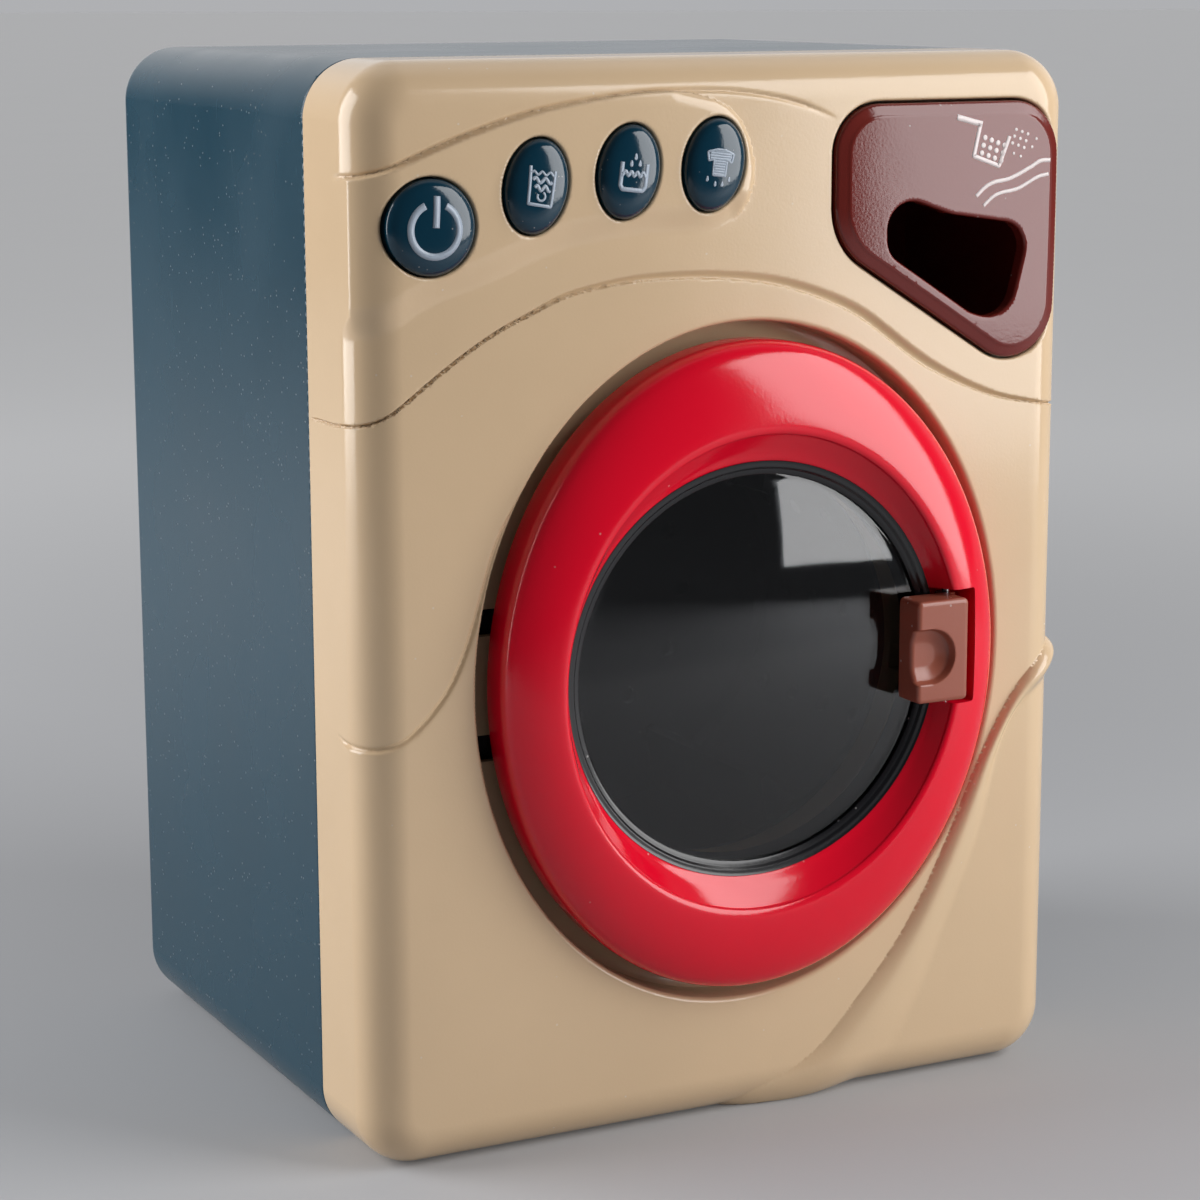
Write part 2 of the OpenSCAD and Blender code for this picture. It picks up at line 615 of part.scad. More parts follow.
// Tub that holds the drum, open to the front
module tub() {
  color([0.2, 0.2, 0.21]) difference() {
    union() {
      difference() {
        union() {
          rod([door_x, door_z], tub_front + tub_wall / 2, tub_back - tub_front - tub_wall / 2, tub_r);
          plate(tub_front, tub_wall) {
            at_door() circle(tub_r + 1, $fn = 96);
            for (a = [45:90:315]) at_door() rotate(a) translate([tub_ear, 0]) {
              circle(5, $fn = round_fn);
              translate([-7, -5]) square([7, 10]);
            }
          }
        }
        rod([door_x, door_z], tub_front + tub_wall, tub_back - tub_front - 2 * tub_wall - 0.5,
          tub_r - tub_wall);
        rod([door_x, door_z], tub_front - 1, 2 * tub_wall, mouth_r + 3);
      }
      rod([door_x, door_z], bush_d, tub_back - bush_d, shaft_r + 6);
    }
    for (p = tub_ears()) rod(p, tub_front - 1, 4, small_screw_r + 0.2);
    rod([door_x, door_z], tub_back - 10, 20, shaft_r + 2);
    rod(idler_at, tub_back - 1.8, 4, idler_pin_r + fit);
    for (p = pillars) rod([door_x, door_z] + p, tub_back - 5, 9, small_screw_r + fit);
  }
}

module tub_screws() {
  color("silver") for (p = tub_ears())
    screw(p, tub_front + tub_wall, tub_front + tub_wall - recess_depth - 1.4, small_screw_r,
      small_head_r, small_head_t);
}

module drum() {
  inner = drum_r - drum_wall;
  color([0.24, 0.24, 0.26]) difference() {
    union() {
      turned([door_x, door_z]) polygon([[mouth_r + 1, drum_front], [drum_r - 2, drum_front],
        [drum_r, drum_front + 2], [drum_r, drum_back - 3], [drum_r - 3, drum_back], [0, drum_back],
        [0, drum_back - 2.5], [inner - 2, drum_back - 2.5], [inner, drum_back - 4.5],
        [inner, drum_front + 3], [mouth_r + 3, drum_front + 2], [mouth_r + 1, drum_front + 2]]);
      // hub on the shaft
      rod([door_x, door_z], drum_back - 5, 5 + hub_l, shaft_r + 4);
      // vanes
      for (i = [0:vane_count - 1]) translate([door_x, front_y + drum_front + 6, door_z])
        rotate([0, 360 * i / vane_count - 60, 0]) rotate([-90, 0, 0]) linear_extrude(drum_l - 10)
          polygon([[inner + 0.5, -6], [inner - vane_h, -1], [inner - vane_h, 1], [inner + 0.5, 6]]);
    }
    rod([door_x, door_z], drum_front, drum_l + 10, shaft_r + fit);
    // perforations between the vanes
    for (i = [0:vane_count - 1], j = [-1, 0, 1], k = [0:3])
      translate([door_x, front_y + drum_front + 12 + k * (drum_l - 20) / 3.4, door_z])
        rotate([0, 360 * (i + 0.5) / vane_count - 60 + j * 26, 0]) translate([inner - 2, 0, 0])
          rotate([0, 90, 0]) cylinder(r = 2, h = 6, $fn = 24);
    for (i = [0:11]) rod([door_x + 30 * cos(30 * i), door_z + 30 * sin(30 * i)], drum_back - 4, 6, 2);
  }
}

module drum_shaft() {
  color("silver") difference() {
    rod([door_x, door_z], drum_back - 6, plate_d + plate_t + 2 - drum_back + 6, shaft_r);
    turned([door_x, door_z]) polygon([[shaft_r - 0.6, tub_back + 1], [shaft_r + 1, tub_back + 1],
      [shaft_r + 1, tub_back + 1.8], [shaft_r - 0.6, tub_back + 1.8]]);
  }
}

module shaft_bush() {
  color([0.72, 0.55, 0.25]) turned([door_x, door_z]) polygon([[shaft_r + fit, bush_d],
    [shaft_r + 2 - fit, bush_d], [shaft_r + 2 - fit, tub_back], [shaft_r + 4, tub_back],
    [shaft_r + 4, tub_back + 0.8], [shaft_r + fit, tub_back + 0.8]]);
}

module shaft_clip() {
  color("silver") plate(tub_back + 1.05, 0.7) translate([door_x, door_z]) difference() {
    circle(shaft_r + 2.2, $fn = round_fn);
    circle(shaft_r - 0.55, $fn = round_fn);
    translate([0, -shaft_r + 1.2]) square([2.6, 2 * shaft_r + 4], center = true);
  }
}

// Gear outline: teeth narrow towards their tips, with backlash at the pitch circle
function gear_points(n) = let(m = gear_module, r = m * n / 2, q = 360 / n) [for (i = [0:n - 1])
  each [for (p = [[-0.29, -1.1], [-0.205, 0], [-0.1, 0.8], [0.1, 0.8], [0.205, 0], [0.29, -1.1]])
    (r + p[1] * m) * [cos(q * (i + p[0])), sin(q * (i + p[0]))]]];
module gear(at, d, w, n, turn) {
  plate(d, w) translate(at) rotate(turn) polygon(gear_points(n));
}
// Turn of a follower that puts a gap where the tooth of the gear it meets points
function mesh_turn(angle, n, n_lead, turn_lead) = angle + 180 + 180 / n
  + (angle - turn_lead) * n_lead / n;
idler_turn = mesh_turn(idler_angle, idler_small_teeth, drum_teeth, 0);
pinion_turn = mesh_turn(90, pinion_teeth, idler_large_teeth, idler_turn);

module drum_gear() {
  color([0.92, 0.92, 0.88]) difference() {
    union() {
      gear([door_x, door_z], drum_gear_d, gear_w, drum_teeth, 0);
      rod([door_x, door_z], drum_gear_d - 0.6, gear_w + 3, shaft_r + 3);
    }
    rod([door_x, door_z], drum_gear_d - 2, gear_w + 10, shaft_r + fit);
    for (a = [30:60:330]) rod([door_x + 14 * cos(a), door_z + 14 * sin(a)], drum_gear_d - 1,
      gear_w + 2, 4);
  }
}

module idler_gear() {
  color([0.92, 0.92, 0.88]) difference() {
    union() {
      gear(idler_at, small_wheel_d, large_wheel_d - small_wheel_d, idler_small_teeth, idler_turn);
      gear(idler_at, large_wheel_d, gear_w - 1.5, idler_large_teeth, idler_turn);
    }
    rod(idler_at, small_wheel_d - 1, 3 * gear_w, idler_pin_r + fit);
  }
}

module idler_pin() {
  color("silver") rod(idler_at, tub_back - 1.7, plate_d + plate_t - tub_back + 1.7, idler_pin_r);
}

module motor_pinion() {
  color([0.72, 0.6, 0.3]) union() {
    difference() {
      gear(motor_at, large_wheel_d - 0.4, gear_w - 1, pinion_teeth, pinion_turn);
      rod(motor_at, large_wheel_d - 2, gear_w + 4, motor_shaft_r);
    }
    rod(motor_at, large_wheel_d - 0.4, plate_d + plate_t + 4 - large_wheel_d, motor_shaft_r);
  }
}

motor_d = plate_d + plate_t;
module motor() {
  color([0.7, 0.7, 0.72]) difference() {
    union() {
      turned(motor_at) polygon([[0, motor_d], [motor_r - 1, motor_d], [motor_r, motor_d + 1],
        [motor_r, motor_d + motor_l - 1], [motor_r - 1, motor_d + motor_l], [0, motor_d + motor_l]]);
      rod(motor_at, motor_d - 1.6, 2, 3);
      rod(motor_at, motor_d + motor_l - 0.5, 1.7, 3);
      for (s = [-1, 1]) block(motor_at[0] + s * 7 - 1.2, motor_at[0] + s * 7 + 1.2, motor_d + motor_l - 0.1,
        motor_d + motor_l + 2.4, motor_at[1] - 0.3, motor_at[1] + 0.3);
    }
    rod(motor_at, motor_d - 3, 9, motor_shaft_r + fit);
    for (s = [-1, 1]) rod(motor_at + [s * 8, 0], motor_d - 1, 4, 0.8 + fit);
  }
}

module motor_screws() {
  color("silver") for (s = [-1, 1]) back_screw(motor_at + [s * 8, 0], plate_d, 4.5, 0.8, 1.5, 0.9);
}

module gear_plate() {
  color([0.85, 0.85, 0.82]) difference() {
    union() {
      plate(plate_d, plate_t) {
        for (k = [0:3]) hull() for (p = [pillars[k], pillars[(k + 1) % 4]])
          translate([door_x, door_z] + p) circle(pillar_r + 1, $fn = 32);
        hull() for (p = [motor_at, idler_at, [door_x, door_z]]) translate(p) circle(motor_r, $fn = 32);
      }
      for (p = pillars) rod([door_x, door_z] + p, tub_back, plate_d - tub_back + 0.1, pillar_r);
    }
    for (p = pillars) rod([door_x, door_z] + p, tub_back - 1, 40, small_screw_r + 0.2);
    rod([door_x, door_z], plate_d - 1, 5, shaft_r + fit);
    rod(idler_at, plate_d - 1, 5, idler_pin_r + fit);
    rod(motor_at, plate_d - 1, 5, 3 + fit);
    for (s = [-1, 1]) rod(motor_at + [s * 8, 0], plate_d - 1, 5, 0.8 + 0.1);
  }
}

module gear_plate_screws() {
  color("silver") for (p = pillars)
    screw([door_x, door_z] + p, plate_d + plate_t, plate_d + plate_t - tub_back + 4, small_screw_r,
      small_head_r, small_head_t);
}

// Outline steps of the ring's outer face: inset from the oval against depth
ring_steps = [[ring_back, 0.5], [-0.1 * ring_proud, 0], [-0.39 * ring_proud, 0.5],
  [-0.67 * ring_proud, 2.2], [-0.85 * ring_proud, 5], [-0.95 * ring_proud, 8.5], [-ring_proud, 11.5]];
ring_edge_x = 2.4;      // inner edge beyond the window, sideways and upwards
ring_edge_z = 6.4;
collar_r = window_r + 1.6;
door_posts = [for (a = [40, 140, 220, 320])
  [door_x + (ring_rx - 8) * cos(a), door_z + (ring_rz - 8) * sin(a)]];

function door_oval(rx, rz) = [for (p = oval(rx, rz, 72)) p + [door_x, door_z]];
module ring_body(inset, back) {
  loft([for (i = [len(ring_steps) - 1:-1:0]) let(s = ring_steps[i])
    [i == 0 ? back : s[0] + inset, door_oval(ring_rx - s[1] - inset, ring_rz - s[1] - inset)]]);
}
module door_ring() {
  color([0.75, 0.07, 0.17]) difference() {
    union() {
      difference() {
        ring_body(0, ring_back);
        difference() {
          ring_body(ring_wall, ring_back + 1);
          plate(seat_d - 3, door_back_d - seat_d + 3) at_door() circle(collar_r, $fn = round_fn);
        }
        // inner slope down to the window
        loft([[-ring_proud - 0.6, door_oval(window_r + ring_edge_x, window_r + ring_edge_z)],
          [seat_d, door_oval(window_r - 0.4, window_r - 0.4)]]);
      }
      for (p = door_posts) intersection() {
        rod(p, -ring_proud + 4, door_back_d + ring_proud - 4, small_boss_r);
        ring_body(0.5, ring_back);
      }
      // walls of the latch notch and the ears of its pin
      intersection() {
        block(door_x + window_r - 2, notch_x + 1.6, -ring_proud, 1.5, latch_z - notch_h / 2 - 3.5,
          latch_z + notch_h / 2 + 3.5);
        ring_body(0.2, ring_back);
      }
    }
    // the window's seat and the latch notch
    rod([door_x, door_z], seat_d - 1, ring_back + 10 - seat_d, window_r);
    block(door_x + window_r - 12, notch_x, -ring_proud - 5, -0.5, latch_z - notch_h / 2,
      latch_z + notch_h / 2);
    block(latch_pin_x - 3, latch_pin_x + hook_w / 2 + barb + 0.6, -2, 6, hook_z - hook_h / 2 - 0.6,
      hook_z + hook_h / 2 + 0.6);
    upright(latch_pin_x, latch_pin_d, latch_z - notch_h / 2 - 2.5, notch_h + 5, latch_pin_r + fit);
    for (p = door_posts) rod(p, door_back_d - 8, 9, small_screw_r + fit);
  }
}

// Black ring that holds the window's edge, stepped towards the middle
module window_rim() {
  color([0.05, 0.05, 0.06]) turned([door_x, door_z]) polygon([[window_r - skin / 2, seat_d],
    [window_r - skin / 2, seat_d + rim_t], [window_r - 3.4, seat_d + rim_t],
    [window_r - 3.4, seat_d + 0.9], [window_r - 2, seat_d + 0.7], [window_r - 1.8, seat_d]]);
}

// Window pane, domed a little to the front
module door_window() {
  rise = 1.6;
  pane = window_r - skin / 2;
  dome = window_r - 4;
  color([0.12, 0.13, 0.14, 0.6]) turned([door_x, door_z], glass_d) polygon(concat(
    [[pane, 0], [pane, glass_t]],
    [for (k = [10:-1:0]) let(r = dome * k / 10) [r, glass_t - rise * (1 - k * k / 100)]],
    [for (k = [0:10]) let(r = dome * k / 10) [r, -rise * (1 - k * k / 100)]]));
}

module door_back() {
  color([0.16, 0.16, 0.17]) difference() {
    union() {
      plate(door_back_d, door_back_t) at_door()
        polygon(oval(ring_rx - ring_wall - 0.8, ring_rz - ring_wall - 0.8, 72));
      // collar that presses the window against its rim
      plate(glass_d + glass_t, door_back_d - glass_d - glass_t + 0.1) at_door()
        circle(window_r - skin / 2, $fn = round_fn);
      // hinge arms, looped behind the edge of the recess
      for (s = [-1, 1]) translate([hinge_x, front_y + hinge_d, door_z + s * arm_z - arm_t / 2])
        linear_extrude(arm_t) union() {
          circle(knuckle_r, $fn = round_fn);
          translate([-arm_w / 2, 0]) square([arm_w, arm_reach + arm_w / 2]);
          translate([-arm_w / 2, arm_reach - arm_w / 2]) square([arm_span + arm_w, arm_w]);
          translate([arm_span - arm_w / 2, door_back_d - hinge_d]) square([arm_w, arm_reach
            - door_back_d + hinge_d]);
        }
    }
    plate(glass_d - 1, 12) at_door() circle(window_r - 3.4, $fn = round_fn);
    for (p = door_posts) rod(p, door_back_d - 1, 4, small_screw_r + 0.2);
    block(latch_pin_x - 3.6, latch_pin_x + hook_w / 2 + barb + 0.6, door_back_d - 1, 7,
      hook_z - hook_h / 2 - 0.6, hook_z + hook_h / 2 + 0.6);
    for (s = [-1, 1]) upright(hinge_x, hinge_d, door_z + s * arm_z - arm_t, 2 * arm_t,
      hinge_pin_r + fit);
  }
}

module door_screws() {
  color("silver") for (p = door_posts)
    screw(p, door_back_d + door_back_t, 8, small_screw_r, small_head_r, small_head_t);
}

module hinge_pin() {
  color("silver") upright(hinge_x, hinge_d, door_z - hinge_pin_l / 2, hinge_pin_l, hinge_pin_r);
}

// Latch: a grip with a thumb hollow, and a hook that reaches behind the recess floor
module door_latch() {
  x1 = latch_x + latch_w;
  color([0.45, 0.24, 0.2]) difference() {
    union() {
      plate(-latch_proud, latch_proud + latch_back) translate([latch_x + latch_w / 2, latch_z])
        polygon(rect_points(latch_w, latch_h, 1.2));
      block(latch_pin_x - latch_hub_r + 0.4, x1, latch_back - 0.1, latch_pin_d, latch_z - latch_h / 2,
        latch_z + latch_h / 2);
      upright(latch_pin_x, latch_pin_d, latch_z - latch_h / 2, latch_h, latch_hub_r);
      block(latch_pin_x - hook_w / 2, latch_pin_x + hook_w / 2, latch_pin_d, hook_end,
        hook_z - hook_h / 2, hook_z + hook_h / 2);
      block(latch_pin_x, latch_pin_x + hook_w / 2 + barb, hook_end - 1.5, hook_end,
        hook_z - hook_h / 2, hook_z + hook_h / 2);
    }
    // thumb hollow, open to the left
    plate(-latch_proud - 1, 4) translate([latch_x + 3.6, latch_z - 1]) {
      circle(6.2, $fn = round_fn);
      translate([-6, -6.2]) square([6, 12.4]);
    }
    upright(latch_pin_x, latch_pin_d, latch_z - latch_h, 2 * latch_h, latch_pin_r + fit);
    // room for the spring
    translate([latch_pin_x, front_y + latch_pin_d, spring_slot_z]) cylinder(r = 3.4, h = 6);
    block(latch_pin_x, latch_pin_x + 4, latch_pin_d - 3.4, latch_pin_d + 5, spring_slot_z,
      spring_slot_z + 6);
  }
}

module latch_pin() {
  color("silver") upright(latch_pin_x, latch_pin_d, latch_z - notch_h / 2 - 2.4, notch_h + 4.8,
    latch_pin_r);
}

module latch_spring() {
  turns = 6;
  steps = 14 * turns;
  color("silver") sweep([for (i = [0:steps]) let(a = 360 * turns * i / steps)
    [latch_pin_x + 2 * cos(a), front_y + latch_pin_d + 2 * sin(a),
      spring_slot_z + 0.5 + 5 * i / steps]], 0.3, 6);
}

// Button cap: domed top, skirt, retaining flange and stem, for a given outline
module button_body(at, round_cap) {
  top = -relief_h - button_dome;
  rx = round_cap ? power_r : oval_rx;
  rz = round_cap ? power_r : oval_rz;
  lean = round_cap ? 0 : -oval_lean;
  union() {
    loft([for (a = [[0, 0.28], [0.03, 0.42], [0.12, 0.62], [0.3, 0.8], [0.55, 0.92], [0.8, 0.98],
      [1, 1], [(flange_d + 0.1 - top) / button_dome, 1]]) [top + button_dome * a[0],
        [for (q = oval(rx * a[1], rz * a[1], 48)) at + [q[0] * cos(lean) - q[1] * sin(lean),
          q[0] * sin(lean) + q[1] * cos(lean)]]]]);
    plate(flange_d, flange_t) translate(at) rotate(lean)
      polygon(oval(rx + flange_lip + 0.2, rz + flange_lip + 0.2, 48));
    rod(at, flange_d, stem_end - flange_d, stem_r);
  }
}
module power_button() { color([0.02, 0.2, 0.27]) button_body(power_at, true); }
module wash_button() { color([0.02, 0.2, 0.27]) button_body(wash_at, false); }
module rinse_button() { color([0.02, 0.2, 0.27]) button_body(rinse_at, false); }
module spin_button() { color([0.02, 0.2, 0.27]) button_body(spin_at, false); }

module button_spring(at) {
  color("silver") coil(at, flange_d + flange_t + 0.05, board_d - flange_d - flange_t - 0.1, 5.2, 0.3, 5);
}
module power_spring() { button_spring(power_at); }
module wash_spring() { button_spring(wash_at); }
module rinse_spring() { button_spring(rinse_at); }
module spin_spring() { button_spring(spin_at); }

module circuit_board() {
  color([0.1, 0.4, 0.2]) difference() {
    union() {
      plate(board_d, board_t) translate([board_left, board_low])
        square([board_right - board_left, board_high - board_low]);
      // sound chip and its capacitors
      block(power_at[0] + 15, power_at[0] + 25, board_d + board_t - 0.1, board_d + board_t + 2.4,
        board_low + 4, board_low + 14);
      for (i = [0, 1]) rod([power_at[0] + 35 + 8 * i, board_low + 22], board_d + board_t - 0.1, 7, 2.5);
    }
    for (p = board_posts) rod(p, board_d - 1, 4, small_screw_r + 0.2);
  }
}

module board_switches() {
  color([0.1, 0.1, 0.11]) for (at = [power_at, wash_at, rinse_at, spin_at]) {
    plate(board_d - 3.6, 3.6) translate(at) square(6, center = true);
    rod(at, switch_d, board_d - 3.5 - switch_d, 1.6);
  }
}

module board_screws() {
  color("silver") for (p = board_posts)
    screw(p, board_d + board_t, 7, small_screw_r, small_head_r, small_head_t);
}

// Drawer: the front with its finger hole, and the tray, which is open at its top
module detergent_drawer() {
  color([0.4, 0.19, 0.17]) difference() {
    union() {
      hull() {
        plate(-drawer_proud, 0.02) drawer_outline(-1.4);
        plate(-drawer_proud + 1, drawer_face_t - 1) drawer_outline(0);
      }
      plate(drawer_face_t - drawer_proud - 0.1, drawer_l - drawer_face_t + drawer_proud)
        difference() {
          drawer_outline(0);
          drawer_outline(-drawer_wall);
          translate([drawer_left - 5, drawer_top - 14]) square([drawer_w + 10, 30]);
        }
      plate(drawer_l - 1.8, 1.8) difference() {
        drawer_outline(0);
        translate([drawer_left - 5, drawer_top - 14]) square([drawer_w + 10, 30]);
      }
    }
    plate(-drawer_proud - 1, drawer_face_t + 2) polygon(rounded(hole_corners));
  }
}

module drawer_guide() {
  color([0.8, 0.74, 0.62]) difference() {
    union() {
      plate(guide_d, guide_l) drawer_outline(drawer_gap + guide_wall);
      plate(guide_d, ear_t) for (k = [0, 1]) hull() {
        translate(guide_ears[k]) circle(4, $fn = 32);
        translate([guide_ears[k][0] + (k == 0 ? 6 : 0), guide_ears[k][1] + (k == 0 ? 0 : 6)])
          circle(4, $fn = 32);
      }
    }
    plate(guide_d - 1, guide_l - guide_wall + 1) drawer_outline(drawer_gap);
    for (p = guide_ears) rod(p, guide_d - 1, 4, small_screw_r + 0.2);
  }
}

module guide_screws() {
  color("silver") for (p = guide_ears)
    screw(p, guide_d + ear_t, 6, small_screw_r, small_head_r, small_head_t);
}

speaker_d = back_inside - speaker_t;
module speaker() {
  color([0.12, 0.12, 0.13]) turned(speaker_at) polygon([[0, speaker_d - 4],
    [speaker_r * 0.45, speaker_d - 4], [speaker_r * 0.45, speaker_d], [speaker_r * 0.7, speaker_d + 1],
    [speaker_r, speaker_d + 4], [speaker_r, back_inside - 0.1], [speaker_r - 2, back_inside - 0.1],
    [speaker_r * 0.5, back_inside - 3.5], [0, back_inside - 2]]);
}

module speaker_clamp() {
  color([0.8, 0.8, 0.82]) difference() {
    plate(back_inside - 7.5, 1.5) {
      translate(speaker_at) circle(speaker_r - 1, $fn = round_fn);
      hull() for (p = speaker_posts()) translate(p) circle(3.5, $fn = 32);
    }
    plate(back_inside - 9, 4) translate(speaker_at) circle(speaker_r * 0.82, $fn = round_fn);
    for (p = speaker_posts()) rod(p, back_inside - 9, 4, small_screw_r + 0.2);
  }
}

module speaker_screws() {
  color("silver") for (p = speaker_posts())
    back_screw(p, back_inside - 7.5, 6, small_screw_r, small_head_r, small_head_t);
}

// Inner wires, in pairs that part where they are soldered; each path is given as [x, depth, z]
wire_r = 0.6;
board_back = board_d + board_t;
motor_route = [[motor_at[0], motor_d + motor_l + 1.9, motor_at[1] + 0.9],
  [motor_at[0], motor_d + motor_l + 1.9, motor_at[1] + 4.5],
  [motor_at[0] - 1, motor_d + motor_l + 1.9, motor_at[1] + motor_r + 2.5],
  [motor_at[0] - 12, motor_d + 14, motor_at[1] + 21], [motor_at[0] - 28, motor_d - 20, casing_h - 58],
  [power_at[0] + 30, board_back + 30, board_low + 10],
  [power_at[0] + 28, board_back + 6, board_low + 8], [power_at[0] + 28, board_back, board_low + 8]];
box_top = back_inside - box_deep - box_wall;
battery_route = [[3 - box_w / 2, box_top, cover_mid + box_h / 2 - 4],
  [3 - box_w / 2, box_top - 4, cover_mid + box_h / 2 - 4],
  [-box_w / 2, box_top - 8, cover_mid + box_h / 2 - 1],
  [-half_w + 24, box_top - 10, cover_mid + box_h / 2 + 20],
  [-half_w + 18, casing_d * 0.55, door_z + 45], [power_at[0] + 6, board_back + 24, board_low + 2],
  [power_at[0] + 8, board_back + 6, board_low + 6], [power_at[0] + 8, board_back, board_low + 6]];
speaker_route = [[speaker_at[0], speaker_d - 4, speaker_at[1] + 4],
  [speaker_at[0], speaker_d - 8, speaker_at[1] + 4],
  [speaker_at[0] - 2, speaker_d - 16, speaker_at[1] + 6],
  [speaker_at[0] - 6, speaker_d - 40, speaker_at[1] + 16],
  [power_at[0] + 28, board_back + 25, board_low + 24],
  [power_at[0] + 28, board_back + 6, board_low + 24], [power_at[0] + 28, board_back, board_low + 24]];
// One wire of a pair: it starts aside by start and then runs beside the path, square to across
function wire_path(route, across, start, s) = let(p = [for (q = smooth(route, 6)) [q[0],
    front_y + q[1], q[2]]], m = len(p)) [for (i = [0:m - 1]) let(w = min(1, i / 6),
    u = unit(cross(p[min(i + 1, m - 1)] - p[max(i - 1, 0)], across)))
    p[i] + s * (w * 0.85 * u + (1 - w) * start)];
module wire_pair(route, across, start) {
  color([0.7, 0.1, 0.1]) sweep(wire_path(route, across, start, -1), wire_r, 8);
  color([0.1, 0.1, 0.1]) sweep(wire_path(route, across, start, 1), wire_r, 8);
}
module motor_wires() { wire_pair(motor_route, [1, 0, 0], [7, 0, 0]); }
module battery_wires() { wire_pair(battery_route, [0, 0, 1], [-0.85, 0, 0]); }
module speaker_wires() { wire_pair(speaker_route, [0, 0, 1], [-0.85, 0, 0]); }

front_bezel();
rear_casing();
casing_screws();
battery_box();
battery_box_screws();
battery_cells();
battery_contacts();
battery_cover();
battery_cover_screw();
tub();
tub_screws();
drum();
drum_shaft();
shaft_bush();
shaft_clip();
drum_gear();
idler_gear();
idler_pin();
motor_pinion();
motor();
motor_screws();
gear_plate();
gear_plate_screws();
door_ring();
window_rim();
door_window();
door_back();
door_screws();
hinge_pin();
door_latch();
latch_pin();
latch_spring();
power_button();
wash_button();
rinse_button();
spin_button();
power_spring();
wash_spring();
rinse_spring();
spin_spring();
circuit_board();
board_switches();
board_screws();
detergent_drawer();
drawer_guide();
guide_screws();
speaker();
speaker_clamp();
speaker_screws();
motor_wires();
battery_wires();
speaker_wires();
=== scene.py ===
import json
import math
import bpy
import numpy as np
from mathutils import Matrix, Vector
from mathutils.geometry import delaunay_2d_cdt

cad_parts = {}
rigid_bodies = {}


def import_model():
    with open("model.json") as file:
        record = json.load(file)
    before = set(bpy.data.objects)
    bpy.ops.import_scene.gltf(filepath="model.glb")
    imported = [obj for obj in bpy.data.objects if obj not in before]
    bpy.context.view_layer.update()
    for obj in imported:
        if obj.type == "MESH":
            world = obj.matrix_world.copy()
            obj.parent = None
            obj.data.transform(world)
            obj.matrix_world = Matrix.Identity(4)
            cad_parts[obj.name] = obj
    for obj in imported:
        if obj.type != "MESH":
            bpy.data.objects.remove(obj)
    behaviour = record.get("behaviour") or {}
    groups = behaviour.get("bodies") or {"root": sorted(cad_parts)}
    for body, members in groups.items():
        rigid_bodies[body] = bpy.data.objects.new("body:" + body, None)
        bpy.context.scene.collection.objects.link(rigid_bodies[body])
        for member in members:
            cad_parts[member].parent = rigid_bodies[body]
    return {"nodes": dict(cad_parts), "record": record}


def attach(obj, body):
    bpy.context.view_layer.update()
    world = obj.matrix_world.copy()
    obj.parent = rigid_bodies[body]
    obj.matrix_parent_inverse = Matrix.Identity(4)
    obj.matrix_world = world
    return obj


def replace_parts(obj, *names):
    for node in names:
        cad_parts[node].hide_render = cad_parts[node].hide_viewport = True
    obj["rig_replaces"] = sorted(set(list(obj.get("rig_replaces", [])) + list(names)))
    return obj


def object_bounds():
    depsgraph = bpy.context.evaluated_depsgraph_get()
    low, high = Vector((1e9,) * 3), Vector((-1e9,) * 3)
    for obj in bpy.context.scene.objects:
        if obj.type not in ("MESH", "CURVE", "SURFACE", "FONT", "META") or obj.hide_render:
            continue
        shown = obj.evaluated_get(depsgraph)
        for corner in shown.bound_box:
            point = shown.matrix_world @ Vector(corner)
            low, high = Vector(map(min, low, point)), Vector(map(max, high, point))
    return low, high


for spare in list(bpy.data.objects):
    bpy.data.objects.remove(spare)
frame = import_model()
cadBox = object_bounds()
print("frame loaded")

# the machine's own sizes in millimetres, the same as in the CAD part
machine = {"height": 240.0, "depth": 148.0, "doorX": 3.4, "doorZ": 105.4, "recessX": 66.2, "recessZ": 77.2}
frontY = -machine["depth"] / 2
doorCentre = np.array([machine["doorX"], machine["doorZ"]])

# the camera that took the photograph: place in mm, angles in degrees, focal length in mm on a 36 mm frame
cameraView = {
    "place": (-336.75, -670.05, 258.11), "turn": 26.984, "tilt": 11.348, "roll": -0.17,
    "focal": 94.197,
}


# Camera axes: turned about the upright axis, then tilted down, then rolled about the line of sight
def placeCamera(view):
    cy, sy = math.cos(math.radians(view["turn"])), math.sin(math.radians(view["turn"]))
    cp, sp = math.cos(math.radians(view["tilt"])), math.sin(math.radians(view["tilt"]))
    cr, sr = math.cos(math.radians(view["roll"])), math.sin(math.radians(view["roll"]))
    forward = np.array([sy * cp, cy * cp, -sp])
    right = np.array([cy, -sy, 0.0])
    down = np.cross(forward, right)
    axes = np.column_stack([cr * right - sr * down, -(sr * right + cr * down), -forward])
    data = bpy.data.cameras.new("photoCamera")
    data.lens, data.sensor_width, data.sensor_fit = view["focal"], 36.0, "HORIZONTAL"
    data.clip_start, data.clip_end = 0.01, 20.0
    camera = bpy.data.objects.new("photoCamera", data)
    camera.matrix_world = Matrix.Translation(Vector(view["place"]) * 0.001) @ Matrix(axes.tolist()).to_4x4()
    bpy.context.collection.objects.link(camera)
    bpy.context.scene.camera = camera


# ---- outlines, all seen from the front as (x, z) in millimetres

